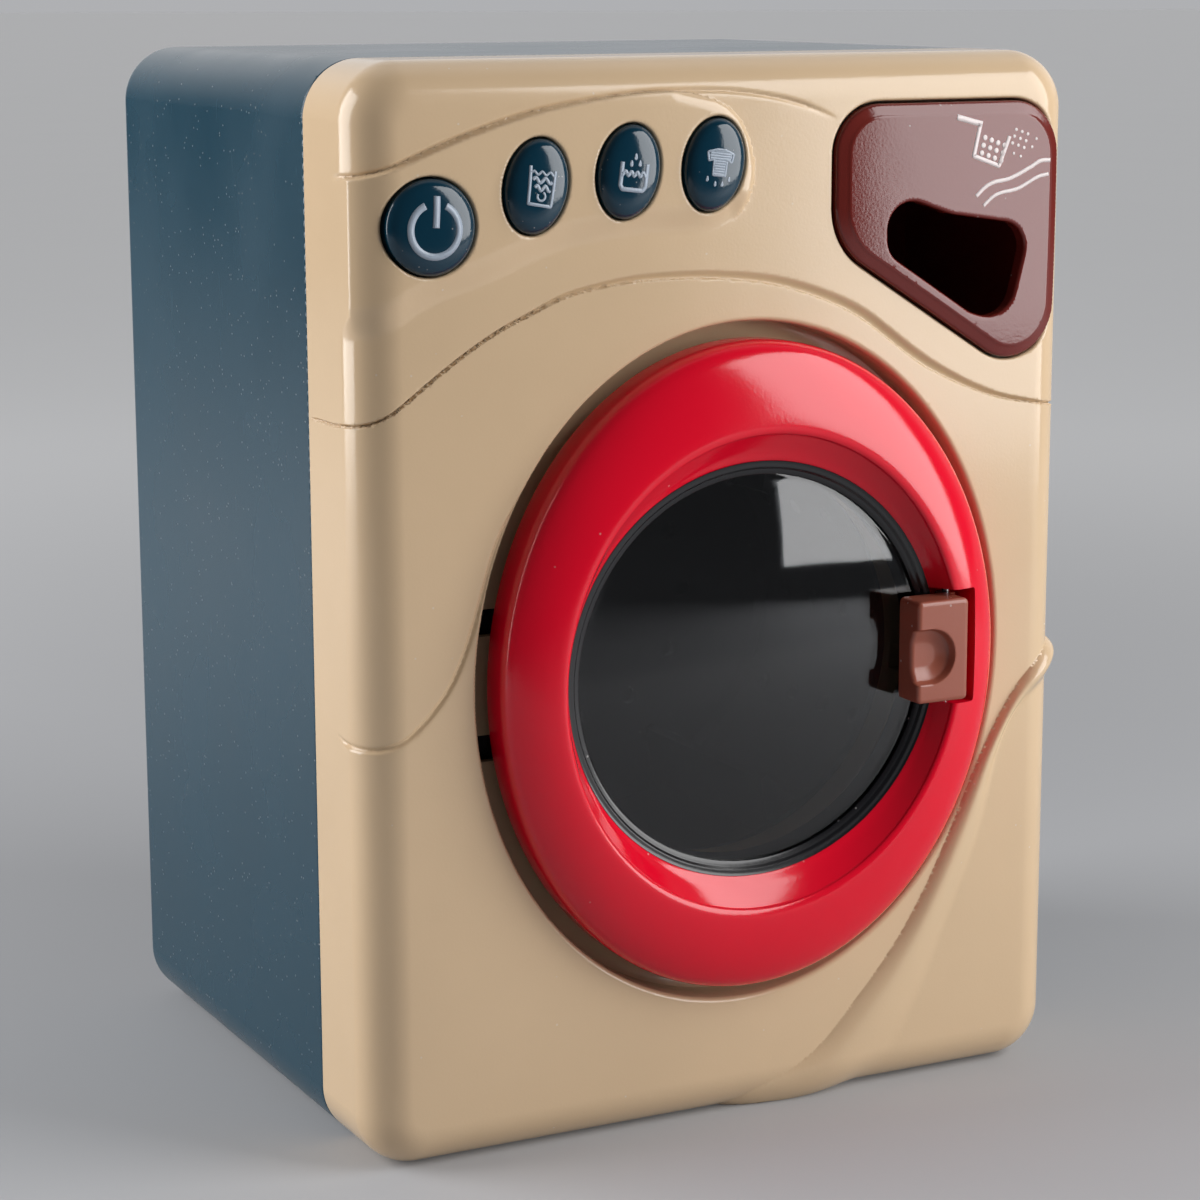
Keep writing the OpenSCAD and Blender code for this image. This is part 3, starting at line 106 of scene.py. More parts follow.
# Catmull-Rom curve through the points, n steps from each to the next
def smoothCurve(points, n, closed=False):
    p = np.asarray(points, float)
    if closed:
        a, b, c, d = np.roll(p, 1, 0), p, np.roll(p, -1, 0), np.roll(p, -2, 0)
    else:
        a = np.vstack([p[:1], p[:-2]])
        b, c = p[:-1], p[1:]
        d = np.vstack([p[2:], p[-1:]])
    t = (np.arange(n) / n)[None, :, None]
    a, b, c, d = (v[:, None, :] for v in (a, b, c, d))
    q = 0.5 * (2 * b + (c - a) * t + (2 * a - 5 * b + 4 * c - d) * t ** 2 + (3 * b - a - 3 * c + d) * t ** 3)
    q = q.reshape(-1, p.shape[1])
    return q if closed else np.vstack([q, p[-1:]])


# Oval: centre + (rx cos t, rz sin t), anticlockwise
def ovalLoop(centre, rx, rz, n, lean=0.0):
    t = np.arange(n) * 2 * np.pi / n
    u, v = rx * np.cos(t), rz * np.sin(t)
    c, s = math.cos(math.radians(lean)), math.sin(math.radians(lean))
    return np.column_stack([centre[0] + u * c - v * s, centre[1] + u * s + v * c])


# Polygon with each corner (x, z, radius) replaced by an arc of n steps that touches both sides
def roundedLoop(corners, n):
    k = np.asarray(corners, float)
    b, r = k[:, :2], k[:, 2:3]
    u = np.roll(b, 1, 0) - b
    v = np.roll(b, -1, 0) - b
    u /= np.linalg.norm(u, axis=1, keepdims=True)
    v /= np.linalg.norm(v, axis=1, keepdims=True)
    half = np.arccos(np.clip((u * v).sum(1, keepdims=True), -1, 1)) / 2
    centre = b + (u + v) / np.linalg.norm(u + v, axis=1, keepdims=True) * r / np.sin(half)
    s = b + u * r / np.tan(half) - centre
    e = b + v * r / np.tan(half) - centre
    a0 = np.arctan2(s[:, 1], s[:, 0])[:, None]
    turn = np.arctan2(s[:, 0] * e[:, 1] - s[:, 1] * e[:, 0], (s * e).sum(1))[:, None]
    a = a0 + turn * np.linspace(0, 1, n + 1)[None, :]
    return (centre[:, None, :] + r[:, :, None] * np.stack([np.cos(a), np.sin(a)], 2)).reshape(-1, 2)


# Points at even steps of about the given length along a closed or open line
def evenSteps(line, step, closed=True):
    p = np.vstack([line, line[:1]]) if closed else np.asarray(line)
    s = np.concatenate([[0], np.cumsum(np.linalg.norm(np.diff(p, axis=0), axis=1))])
    n = max(3, int(round(s[-1] / step)))
    at = np.linspace(0, s[-1], n, endpoint=False) if closed else np.linspace(0, s[-1], n + 1)
    return np.column_stack([np.interp(at, s, p[:, 0]), np.interp(at, s, p[:, 1])])


# Loop moved outwards by a distance along its normals (the loop runs anticlockwise)
def grownLoop(loop, distance):
    t = np.roll(loop, -1, 0) - np.roll(loop, 1, 0)
    t /= np.linalg.norm(t, axis=1, keepdims=True)
    return loop + distance * np.column_stack([t[:, 1], -t[:, 0]])


# Distance from points to a line of segments, with the side (left of the line is positive) and the share of its length
def lineDistance(points, line, closed=False, reach=1e9):
    if reach < 1e8:
        rough = np.full(len(points), 1e9)
        for corner in line[::4]:
            rough = np.minimum(rough, np.abs(points - corner).max(1))
        near = rough < reach + 12
        found = lineDistance(points[near], line, closed)
        best, side, share = np.full(len(points), 99.0), np.ones(len(points)), np.zeros(len(points))
        best[near], side[near], share[near] = found
        return best, side, share
    a = line
    b = np.roll(line, -1, 0) if closed else line[1:]
    a = a if closed else a[:-1]
    ab = b - a
    length = np.maximum((ab ** 2).sum(1), 1e-12)
    best = np.full(len(points), 1e9)
    side = np.zeros(len(points))
    share = np.zeros(len(points))
    for start in range(0, len(points), 20000):
        p = points[start:start + 20000]
        ap = p[:, None, :] - a[None]
        t = np.clip((ap * ab[None]).sum(2) / length, 0, 1)
        gap = ap - t[:, :, None] * ab[None]
        d = (gap ** 2).sum(2)
        k = d.argmin(1)
        rows = np.arange(len(p))
        best[start:start + 20000] = np.sqrt(d[rows, k])
        cross = ab[k, 0] * ap[rows, k, 1] - ab[k, 1] * ap[rows, k, 0]
        side[start:start + 20000] = np.where(cross >= 0, 1.0, -1.0)
        share[start:start + 20000] = (k + t[rows, k]) / len(a)
    return best, side, share


# Inside test for a closed loop: an upright ray crosses its edges an odd number of times
def insideLoop(points, loop):
    x, z = points[:, 0], points[:, 1]
    inside = np.zeros(len(points), bool)
    for (x0, z0), (x1, z1) in zip(loop, np.roll(loop, -1, 0)):
        hit = (z0 > z) != (z1 > z)
        inside ^= hit & (x < (x1 - x0) * (z - z0) / (z1 - z0 + 1e-12) + x0)
    return inside


# Signed distance to a closed loop, negative inside
def loopDistance(points, loop):
    d, _, _ = lineDistance(points, loop, True)
    return np.where(insideLoop(points, loop), -d, d)


# Smooth step from 0 at a to 1 at b: t^2 (3 - 2t)
def smoothStep(x, a, b):
    t = np.clip((x - a) / (b - a), 0, 1)
    return t * t * (3 - 2 * t)


# ---- making meshes

pieces = {}


# One mesh from vertices in mm and faces; normals, where given, shade it exactly as the surface is curved
def makePiece(name, vertices, faces, body, material, replaced=(), normals=None, smooth=True):
    mesh = bpy.data.meshes.new(name)
    mesh.from_pydata((np.asarray(vertices) * 0.001).tolist(), [], [list(map(int, f)) for f in faces])
    mesh.update()
    mesh.polygons.foreach_set("use_smooth", np.full(len(mesh.polygons), smooth))
    if normals is not None:
        mesh.normals_split_custom_set_from_vertices(np.asarray(normals).tolist())
    piece = bpy.data.objects.new(name, mesh)
    bpy.context.collection.objects.link(piece)
    mesh.materials.append(material)
    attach(piece, body)
    if replaced:
        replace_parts(piece, *replaced)
    pieces[name] = piece
    return piece


# Quads between m rings of n points; rings and columns may close on themselves
def gridFaces(m, n, closeRows=False, closeColumns=True, start=0):
    i = np.arange(m if closeRows else m - 1)[:, None]
    j = np.arange(n if closeColumns else n - 1)[None, :]
    a = i * n + j
    b = i * n + (j + 1) % n
    c = ((i + 1) % m) * n + (j + 1) % n
    d = ((i + 1) % m) * n + j
    return (np.stack([a, b, c, d], 2).reshape(-1, 4) + start)


# Normals of a mesh, each face's normal shared by its corners and weighted by its area
def meshNormals(vertices, faces):
    v = np.asarray(vertices)
    f = np.asarray(faces)
    n = np.cross(v[f[:, 2]] - v[f[:, 0]], v[f[:, -1]] - v[f[:, 1]])
    out = np.zeros_like(v)
    for k in range(f.shape[1]):
        np.add.at(out, f[:, k], n)
    return out / np.maximum(np.linalg.norm(out, axis=1, keepdims=True), 1e-12)


# ---- materials: shared effects are node groups, which put out colours, masks, values and normals only

# Colour given as it shows on a screen, turned into the linear one that shaders use
def screenColour(r, g, b):
    c = np.array([r, g, b]) / 255
    return tuple(np.where(c <= 0.04045, c / 12.92, ((c + 0.055) / 1.055) ** 2.4)) + (1.0,)


def newGroup(name, inputs, outputs):
    group = bpy.data.node_groups.new(name, "ShaderNodeTree")
    for label, kind, value in inputs:
        socket = group.interface.new_socket(label, in_out="INPUT", socket_type="NodeSocket" + kind)
        if value is not None:
            socket.default_value = value
    for label, kind in outputs:
        group.interface.new_socket(label, in_out="OUTPUT", socket_type="NodeSocket" + kind)
    return group, group.nodes.new("NodeGroupInput"), group.nodes.new("NodeGroupOutput")


def addNode(tree, kind, links=(), **settings):
    node = tree.nodes.new(kind)
    for key, value in settings.items():
        setattr(node, key, value)
    for socket, source in dict(links).items():
        if isinstance(source, bpy.types.NodeSocket):
            tree.links.new(source, node.inputs[socket])
        else:
            node.inputs[socket].default_value = source
    return node


def addMath(tree, operation, a, b=0.0, clamp=False):
    return addNode(tree, "ShaderNodeMath", {0: a, 1: b}, operation=operation, use_clamp=clamp).outputs[0]


# Moulded skin: a long soft swell of the wall and a fine grain, summed into one height
def makeMouldGroup():
    group, given, result = newGroup("mouldedSkin", [
        ("Position", "Vector", None), ("Swell", "Float", 0.3), ("Grain", "Float", 0.1), ("Grain Size", "Float", 1200.0),
    ], [("Height", "Float")])
    swell = addNode(group, "ShaderNodeTexNoise", {"Vector": given.outputs[0], "Scale": 28.0, "Detail": 2.0})
    grain = addNode(group, "ShaderNodeTexNoise", {"Vector": given.outputs[0], "Scale": given.outputs[3], "Detail": 1.0})
    total = addMath(group, "ADD", addMath(group, "MULTIPLY", swell.outputs[0], given.outputs[1]),
                    addMath(group, "MULTIPLY", grain.outputs[0], given.outputs[2]))
    group.links.new(total, result.inputs[0])
    return group


# Handling marks: thin scratches where two stretched noises cross a level, and sparse specks of dust
def makeMarksGroup():
    group, given, result = newGroup("handlingMarks", [
        ("Position", "Vector", None), ("Scratch Level", "Float", 0.72), ("Dust Size", "Float", 900.0),
        ("Dust Share", "Float", 0.2), ("Patch Size", "Float", 30.0),
    ], [("Scratches", "Float"), ("Dust", "Float"), ("Patches", "Float")])
    scratches = None
    for turn in ((0.3, 0.1, 0.9), (1.1, 0.7, -0.5)):
        mapped = addNode(group, "ShaderNodeMapping", {
            "Vector": given.outputs[0], "Rotation": turn, "Scale": (40.0, 900.0, 60.0)})
        noise = addNode(group, "ShaderNodeTexNoise", {"Vector": mapped.outputs[0], "Scale": 1.0, "Detail": 1.5})
        mask = addNode(group, "ShaderNodeMapRange", {
            "Value": noise.outputs[0], "From Min": given.outputs[1], "From Max": 0.8})
        scratches = mask.outputs[0] if scratches is None else addMath(group, "MAXIMUM", scratches, mask.outputs[0])
    cells = addNode(group, "ShaderNodeTexVoronoi", {"Vector": given.outputs[0], "Scale": given.outputs[2]})
    dot = addNode(group, "ShaderNodeMapRange", {"Value": cells.outputs["Distance"], "From Min": 0.24, "From Max": 0.1})
    pick = addNode(group, "ShaderNodeSeparateColor", {"Color": cells.outputs["Color"]})
    chosen = addMath(group, "LESS_THAN", pick.outputs[0], given.outputs[3])
    group.links.new(scratches, result.inputs[0])
    group.links.new(addMath(group, "MULTIPLY", dot.outputs[0], chosen), result.inputs[1])
    patches = addNode(group, "ShaderNodeTexNoise", {"Vector": given.outputs[0], "Scale": given.outputs[4], "Detail": 3.0})
    group.links.new(patches.outputs[0], result.inputs[2])
    return group


mouldGroup = makeMouldGroup()
marksGroup = makeMarksGroup()


# A moulded or metal finish: the base colour drifts in patches and carries dust, and marks roughen it
def makeFinish(name, look):
    material = bpy.data.materials.new(name)
    material.use_nodes = True
    tree = material.node_tree
    shader = tree.nodes["Principled BSDF"]
    place = addNode(tree, "ShaderNodeTexCoord").outputs["Object"]
    marks = addNode(tree, "ShaderNodeGroup", node_tree=marksGroup)
    tree.links.new(place, marks.inputs[0])
    marks.inputs["Scratch Level"].default_value = look.get("scratchLevel", 0.74)
    marks.inputs["Dust Size"].default_value = look.get("dustSize", 700.0)
    marks.inputs["Dust Share"].default_value = look.get("dustShare", 0.02)
    marks.inputs["Patch Size"].default_value = look.get("patchSize", 24.0)
    drift = look.get("drift", 0.06)
    base = look["colour"]
    dark = tuple(c * (1 - drift) for c in base[:3]) + (1.0,)
    light = tuple(min(1.0, c * (1 + drift)) for c in base[:3]) + (1.0,)
    patched = addNode(tree, "ShaderNodeMix", data_type="RGBA")
    tree.links.new(marks.outputs["Patches"], patched.inputs[0])
    patched.inputs[6].default_value, patched.inputs[7].default_value = dark, light
    dusted = addNode(tree, "ShaderNodeMix", data_type="RGBA")
    dustWeight = addMath(tree, "MULTIPLY", marks.outputs["Dust"], look.get("dust", 0.4))
    tree.links.new(dustWeight, dusted.inputs[0])
    tree.links.new(patched.outputs[2], dusted.inputs[6])
    dusted.inputs[7].default_value = look.get("dustColour", (0.62, 0.6, 0.57, 1.0))
    tree.links.new(dusted.outputs[2], shader.inputs["Base Color"])
    rough = look["roughness"]
    ground = addNode(tree, "ShaderNodeMapRange", {"Value": marks.outputs["Patches"], "From Min": 0.3, "From Max": 0.7,
                                                  "To Min": rough * 0.85, "To Max": rough * 1.15})
    scratched = addMath(tree, "MULTIPLY", marks.outputs["Scratches"], look.get("scratch", 0.12))
    total = addMath(tree, "ADD", ground.outputs[0], scratched)
    total = addMath(tree, "ADD", total, addMath(tree, "MULTIPLY", dustWeight, 0.5), clamp=True)
    tree.links.new(total, shader.inputs["Roughness"])
    shader.inputs["Metallic"].default_value = look.get("metallic", 0.0)
    shader.inputs["IOR"].default_value = look.get("ior", 1.5)
    shader.inputs["Specular IOR Level"].default_value = look.get("specular", 0.5)
    if look.get("coat"):
        shader.inputs["Coat Weight"].default_value = look["coat"]
        shader.inputs["Coat Roughness"].default_value = look.get("coatRoughness", 0.05)
    skin = addNode(tree, "ShaderNodeGroup", node_tree=mouldGroup)
    tree.links.new(place, skin.inputs[0])
    skin.inputs["Swell"].default_value = look.get("swell", 0.3)
    skin.inputs["Grain"].default_value = look.get("grain", 0.05)
    skin.inputs["Grain Size"].default_value = look.get("grainSize", 1500.0)
    bump = addNode(tree, "ShaderNodeBump", {
        "Height": skin.outputs[0], "Distance": 0.001, "Strength": look.get("bump", 0.25)})
    tree.links.new(bump.outputs[0], shader.inputs["Normal"])
    return material


finishes = {
    "beige_shell": {"colour": screenColour(213, 185, 150), "roughness": 0.15, "swell": 0.4, "dustShare": 0.012,
                    "dust": 0.35},
    "teal_shell": {"colour": screenColour(0, 54, 72), "roughness": 0.26, "swell": 0.4, "dustShare": 0.04, "dust": 0.35,
                   "dustSize": 900.0, "drift": 0.12},
    "teal_inner": {"colour": screenColour(10, 66, 84), "roughness": 0.5},
    "red_shell": {"colour": screenColour(226, 6, 40), "roughness": 0.13, "swell": 0.35, "dustShare": 0.006, "dust": 0.35},
    "black_trim": {"colour": screenColour(20, 20, 23), "roughness": 0.2, "dustShare": 0.03},
    "latch_brown": {"colour": screenColour(152, 84, 66), "roughness": 0.24, "dustShare": 0.02},
    "drawer_brown": {"colour": screenColour(108, 36, 30), "roughness": 0.12, "swell": 0.8, "dustShare": 0.012},
    "teal_button": {"colour": screenColour(4, 48, 66), "roughness": 0.12, "dustShare": 0.05, "dustSize": 1100.0,
                    "dust": 0.35},
    "dark_tub": {"colour": screenColour(44, 44, 47), "roughness": 0.45},
    "drum_plastic": {"colour": screenColour(60, 60, 63), "roughness": 0.4},
    "inner_plastic": {"colour": screenColour(200, 190, 170), "roughness": 0.45},
    "gear_plastic": {"colour": screenColour(232, 230, 222), "roughness": 0.35, "dustColour": (0.3, 0.25, 0.15, 1.0),
                     "dustShare": 0.1},
    "bright_steel": {"colour": screenColour(200, 200, 204), "roughness": 0.2, "metallic": 1.0, "scratchLevel": 0.6},
    "spring_steel": {"colour": screenColour(196, 196, 200), "roughness": 0.22, "metallic": 1.0},
    "screw_steel": {"colour": screenColour(190, 190, 192), "roughness": 0.3, "metallic": 1.0, "scratchLevel": 0.55},
    "bush_brass": {"colour": screenColour(210, 178, 110), "roughness": 0.3, "metallic": 1.0},
    "motor_can": {"colour": screenColour(190, 190, 192), "roughness": 0.32, "metallic": 1.0, "scratchLevel": 0.6},
    "cell_jacket": {"colour": screenColour(150, 152, 156), "roughness": 0.3, "metallic": 0.4},
    "board_green": {"colour": screenColour(30, 110, 62), "roughness": 0.35, "grain": 0.2},
    "wire_skin": {"colour": screenColour(150, 25, 25), "roughness": 0.45},
    "printed_mark": {"colour": screenColour(160, 172, 186), "roughness": 0.3, "swell": 0.0, "grain": 0.2},
    "white_print": {"colour": screenColour(226, 214, 212), "roughness": 0.3, "swell": 0.0, "grain": 0.2},
}
materials = {name: makeFinish(name, look) for name, look in finishes.items()}
print("finishes made:", len(materials))


# ---- the two shells: rounded trays, laid out flat so that outlines and relief can be drawn on them

frontShape = {"half": (79.0, 110.0), "corner": 3.0, "fillet": 10.0, "reach": 28.0, "front": True}
rearShape = {"half": (84.0, 115.0), "corner": 8.0, "fillet": 5.0, "reach": 120.0, "front": False}
shellCentre = np.array([0.0, machine["height"] / 2])


# Core point, outward direction and distance outside a rectangle with rounded corners
def coreSplit(q, shape):
    inner = np.array(shape["half"]) - shape["corner"]
    p = q - shellCentre
    d = p - np.clip(p, -inner, inner)
    length = np.linalg.norm(d, axis=1)
    n = d / np.maximum(length, 1e-9)[:, None]
    out = np.maximum(length - shape["corner"], 0)
    core = np.where((length > shape["corner"])[:, None], q - n * out[:, None], q)
    return core, n, out


# Seen point to laid-out point: a = r asin(out / r), and past the edge as it comes
def layOut(points, shape=frontShape):
    core, n, out = coreSplit(np.asarray(points, float), shape)
    r = shape["fillet"]
    a = r * np.arcsin(np.minimum(out / r, 1)) + np.maximum(out - r, 0)
    return core + n * a[:, None]


# Laid-out point to place: core + n r sin(a/r) across, r (1 - cos(a/r)) deep, then straight back
def rollOut(q, shape, rise=0.0):
    core, n, a = coreSplit(q, shape)
    r = shape["fillet"]
    t = np.minimum(a / r, np.pi / 2)
    past = np.maximum(a - r * np.pi / 2, 0)
    flat = core + n * ((r + rise) * np.sin(t))[:, None]
    depth = r - (r + rise) * np.cos(t) + past
    y = frontY + depth if shape["front"] else -frontY - depth
    return np.column_stack([np.clip(flat[:, 0], cadBox[0][0] * 1000 + 0.02, cadBox[1][0] * 1000 - 0.02), y,
                            np.clip(flat[:, 1], cadBox[0][2] * 1000, cadBox[1][2] * 1000)])


# Points on nested grids: each finer grid only where the surface departs from the mean of its neighbours, or by the lines
def adaptivePoints(surface, low, high, step, levels, tolerance, follow=None):
    nx, nz = (int(math.ceil((high[k] - low[k]) / step)) for k in (0, 1))
    keys = np.stack(np.meshgrid(np.arange(nx + 1), np.arange(nz + 1), indexing="ij"), 2).reshape(-1, 2)
    keys = keys * 2 ** levels
    unit = step / 2 ** levels
    seen = []
    for level in range(levels + 1):
        span = 2 ** (levels - level)
        q = low + keys * unit
        middle = surface(q)
        bend = np.zeros(len(q))
        for along in ((1, 0), (0, 1), (1, 1)):
            shift = np.array(along) * span * unit
            bend = np.maximum(bend, np.linalg.norm(middle - (surface(q + shift) + surface(q - shift)) / 2, axis=1))
        seen.append(keys)
        if level < levels:
            half = span // 2
            active = keys[bend > tolerance]
            if follow is not None:
                cell = np.floor((follow - low) / (span * unit)).astype(int) * span
                corners = [cell + [i * span, j * span] for i in (0, 1) for j in (0, 1)]
                active = np.unique(np.vstack([active] + corners), axis=0)
            near = [active + np.array([i, j]) * half for i in (-1, 0, 1) for j in (-1, 0, 1)]
            keys = np.unique(np.vstack(near), axis=0)
            old = {tuple(k) for k in np.vstack(seen).tolist()}
            keys = np.array([k for k in keys.tolist() if tuple(k) not in old]).reshape(-1, 2)
    return low + np.vstack(seen) * unit


# Triangles between points, with loops as fixed edges, kept inside the outer loop and outside the holes
def trianglesAround(points, outer, holes):
    keep = insideLoop(points, outer) & (lineDistance(points, outer, True)[0] > 0.35)
    for hole in holes:
        far = lineDistance(points, hole, True)[0] > 0.3
        keep &= far & ~insideLoop(points, hole)
    loops = [outer] + holes
    coordinates = np.vstack([points[keep]] + loops)
    edges, start = [], int(keep.sum())
    for loop in loops:
        k = np.arange(len(loop))
        edges += np.column_stack([start + k, start + (k + 1) % len(loop)]).tolist()
        start += len(loop)
    flat, _, faces, _, _, _ = delaunay_2d_cdt([Vector(p) for p in coordinates.tolist()], edges, [], 0, 1e-6)
    flat = np.array([tuple(v) for v in flat])
    faces = np.array([f for f in faces if len(f) == 3])
    middle = flat[faces].mean(1)
    keep = insideLoop(middle, outer)
    for hole in holes:
        keep &= ~insideLoop(middle, hole)
    area = np.cross(flat[faces[:, 1]] - flat[faces[:, 0]], flat[faces[:, 2]] - flat[faces[:, 0]])
    faces = faces[keep & (np.abs(area) > 1e-9)]
    area = np.cross(flat[faces[:, 1]] - flat[faces[:, 0]], flat[faces[:, 2]] - flat[faces[:, 0]])
    faces[area < 0] = faces[area < 0][:, ::-1]
    return flat, faces


# Drop of the rounded edges of openings: that of a quarter circle of radius r at distance s, and steep past the edge
def edgeDrop(q, cuts):
    drop = np.zeros(len(q))
    for cut in cuts:
        low, high = cut["loop"].min(0) - 3, cut["loop"].max(0) + 3
        near = ((q > low) & (q < high)).all(1)
        s = loopDistance(q[near], cut["loop"])
        r = cut["round"]
        drop[near] += r - np.sqrt(np.maximum(r * r - (r - np.clip(s, 0, r)) ** 2, 0)) + np.clip(-s, 0, 0.3) * 12
    return drop


# Shell: outer skin with its relief, the same skin reversed one wall further in, and walls along every edge
def makeShell(name, shape, rise, holes, grid, body, material, replaced, wall=2.2, extra=None, follow=None):
    def plain(q):
        return rollOut(q, shape, rise(q))

    def place(q):
        return rollOut(q, shape, rise(q) - edgeDrop(q, holes))

    def normal(q):
        e = 0.04
        u = place(q + [e, 0]) - place(q - [e, 0])
        v = place(q + [0, e]) - place(q - [0, e])
        n = np.cross(u, v) if shape["front"] else np.cross(v, u)
        return n / np.linalg.norm(n, axis=1, keepdims=True)

    limit = shape["fillet"] * (np.pi / 2 - 1) + shape["reach"]
    inner = np.array(shape["half"]) - shape["corner"]
    r = shape["corner"] + limit
    w = inner + r
    corners = [(sx * w[0], shellCentre[1] + sz * w[1], r) for sx, sz in ((-1, -1), (1, -1), (1, 1), (-1, 1))]
    outer = evenSteps(roundedLoop(corners, 24), grid["edge"])
    low, high = shellCentre - w, shellCentre + w
    if "outline" in shape:
        outer = shape["outline"]
        low, high = outer.min(0), outer.max(0)
    points = adaptivePoints(plain, low, high, grid["step"], grid["levels"], grid["tolerance"], follow)
    loops = [h["loop"] for h in holes]
    if extra is not None:
        points = np.vstack([points, extra])
    flat, faces = trianglesAround(points, outer, loops)
    outside, normals = place(flat), normal(flat)
    inside = rollOut(flat, shape, np.full(len(flat), -wall))
    for hole in holes:
        d, _, _ = lineDistance(flat, hole["loop"], True)
        rim = d < 1e-4
        inside[rim, 1] = frontY + hole["depth"] if shape["front"] else -frontY - hole["depth"]
        inside[rim, 0], inside[rim, 2] = outside[rim, 0], outside[rim, 2]
    seam = lineDistance(flat, outer, True)[0] < 1e-4
    if "outline" not in shape:
        inside[seam, 1] = outside[seam, 1]
    count = len(flat)
    if not shape["front"]:
        faces = faces[:, ::-1]
    edge = np.vstack([faces[:, [0, 1]], faces[:, [1, 2]], faces[:, [2, 0]]])
    code = np.sort(edge, 1)[:, 0] * count + np.sort(edge, 1)[:, 1]
    _, back, times = np.unique(code, return_inverse=True, return_counts=True)
    border = edge[times[back] == 1]
    # the walls have corners of their own, so that they are shaded flat across and smooth along
    rim = np.unique(border)
    number = np.full(count, -1)
    number[rim] = np.arange(len(rim))
    wallStart = 2 * count
    a, b = number[border[:, 0]], number[border[:, 1]]
    walls = np.column_stack([wallStart + b, wallStart + a, wallStart + len(rim) + a, wallStart + len(rim) + b])
    vertices = np.vstack([outside, inside, outside[rim], inside[rim]])
    wallNormals = meshNormals(vertices, walls)[wallStart:]
    allNormals = np.vstack([normals, -normal(flat), wallNormals])
    allFaces = faces.tolist() + (faces[:, ::-1] + count).tolist() + walls.tolist()
    print(name, "triangles:", 2 * len(faces) + 2 * len(walls))
    return makePiece(name, vertices, allFaces, body, material, replaced, allNormals)


# the machine's lines as they are seen from the front, in millimetres
lines = {
    "groove": [(-97, 215.2), (-91.1, 216), (-87.8, 216.5), (-83.4, 217.5), (-78.9, 219.2), (-72.2, 221.9), (-63.1, 225.1),
               (-51.6, 228.5), (-42.3, 230.4), (-32.9, 231.7), (-23.4, 232.7), (-13.7, 232.9), (-4, 232.8),
               (5.9, 231.7), (15.9, 229.6), (26.2, 225.7)],
    "finEnd": [(-13.7, 232.9), (-12, 232.3), (-6.4, 231.2), (-1, 228.9), (2.7, 224.1), (4.5, 217.7), (4.6, 212.3),
               (2.4, 207.4), (-0.9, 204.5)],
    "finLow": [(-0.9, 204.5), (-4.1, 202.7), (-9.5, 202.1), (-20.5, 202.1), (-33.7, 200.7), (-43.1, 199.2),
               (-57.9, 193.5), (-73.3, 188.7), (-81.4, 183.7), (-88.3, 182.4), (-97, 181.2)],
    "arch": [(-106, 164.7), (-97, 164.7), (-91.1, 164.7), (-88.4, 164.9), (-85.5, 166), (-82, 167.8), (-75.2, 172.8),
             (-65.9, 179.2), (-56.6, 184.6), (-49.6, 187.6), (-42.5, 191), (-33, 193.1), (-23.4, 194.4), (-8.7, 194.6),
             (6.2, 193.3), (16.4, 191.1), (26.7, 187.5), (34.6, 183.5), (48, 173.8), (58.9, 167.5), (69.9, 162.9),
             (82.4, 160.2), (90, 159), (98, 158.4), (106, 158.2)],
    "swirl": [(-106, 97.6), (-97, 97.2), (-93, 96.6), (-88.1, 95.2), (-81, 96.6), (-75.6, 100.4), (-69.6, 107),
              (-65.3, 115.4), (-61.6, 126.2), (-57.9, 138), (-53.6, 145.4), (-48.7, 151.6), (-45.6, 155.3)],
    "sharp": [(108, 105), (100, 105), (92, 104.5), (85, 101.1), (77, 94.2), (71, 85.7), (65.8, 76.3), (59.9, 63.1),
              (51.4, 46.4), (42.9, 33.7), (32.6, 22), (21.5, 11.3), (4.5, 3.3), (-2, -2), (-6, -10), (-8, -18)],
    "soft": [(108, 95), (100, 95), (92, 94.6), (86.1, 93.3), (77.2, 88.1), (72, 78.6), (68, 62.1), (63, 48.7), (57.8, 37),
             (51.9, 22.9), (45.1, 9.9), (38.1, 2), (34, -6), (31, -12), (30, -18)],
}
archWidth = {"x": [-95, -56, -42, -20, 0, 30, 48, 62, 80, 95], "wide": [0.9, 1.0, 1.4, 2.1, 2.4, 2.8, 2.7, 1.8, 1.1, 0.9]}
relief = {
    "fin": 1.6, "finLip": 0.8, "finEndWide": 3.2, "finLowWide": 7.5, "groove": 0.6, "grooveWide": 0.5,
    "arch": 1.2, "swirl": 0.7, "swirlWide": 0.5, "ribbon": 2.1, "crest": 0.3,
}


# Running mean over some 12 mm of a line, with its ends kept
def eased(points, step=1.5, reach=4):
    line = evenSteps(smoothCurve(points, 4), step, False)
    ahead = line[0] * 2 - line[reach:0:-1]
    behind = line[-1] * 2 - line[-2:-reach - 2:-1]
    long = np.vstack([ahead, line, behind])
    weights = np.hanning(2 * reach + 3)[1:-1]
    weights /= weights.sum()
    return np.column_stack([np.convolve(long[:, k], weights, "valid") for k in (0, 1)])


laidOut = {key: layOut(eased(points)) for key, points in lines.items()}
panelLoop = np.vstack([laidOut["groove"][:int(np.argmin(np.abs(laidOut["groove"][:, 0] + 13.7))) + 1],
                       laidOut["finEnd"], laidOut["finLow"]])
ribbonLoop = np.vstack([laidOut["sharp"], laidOut["soft"][::-1]])

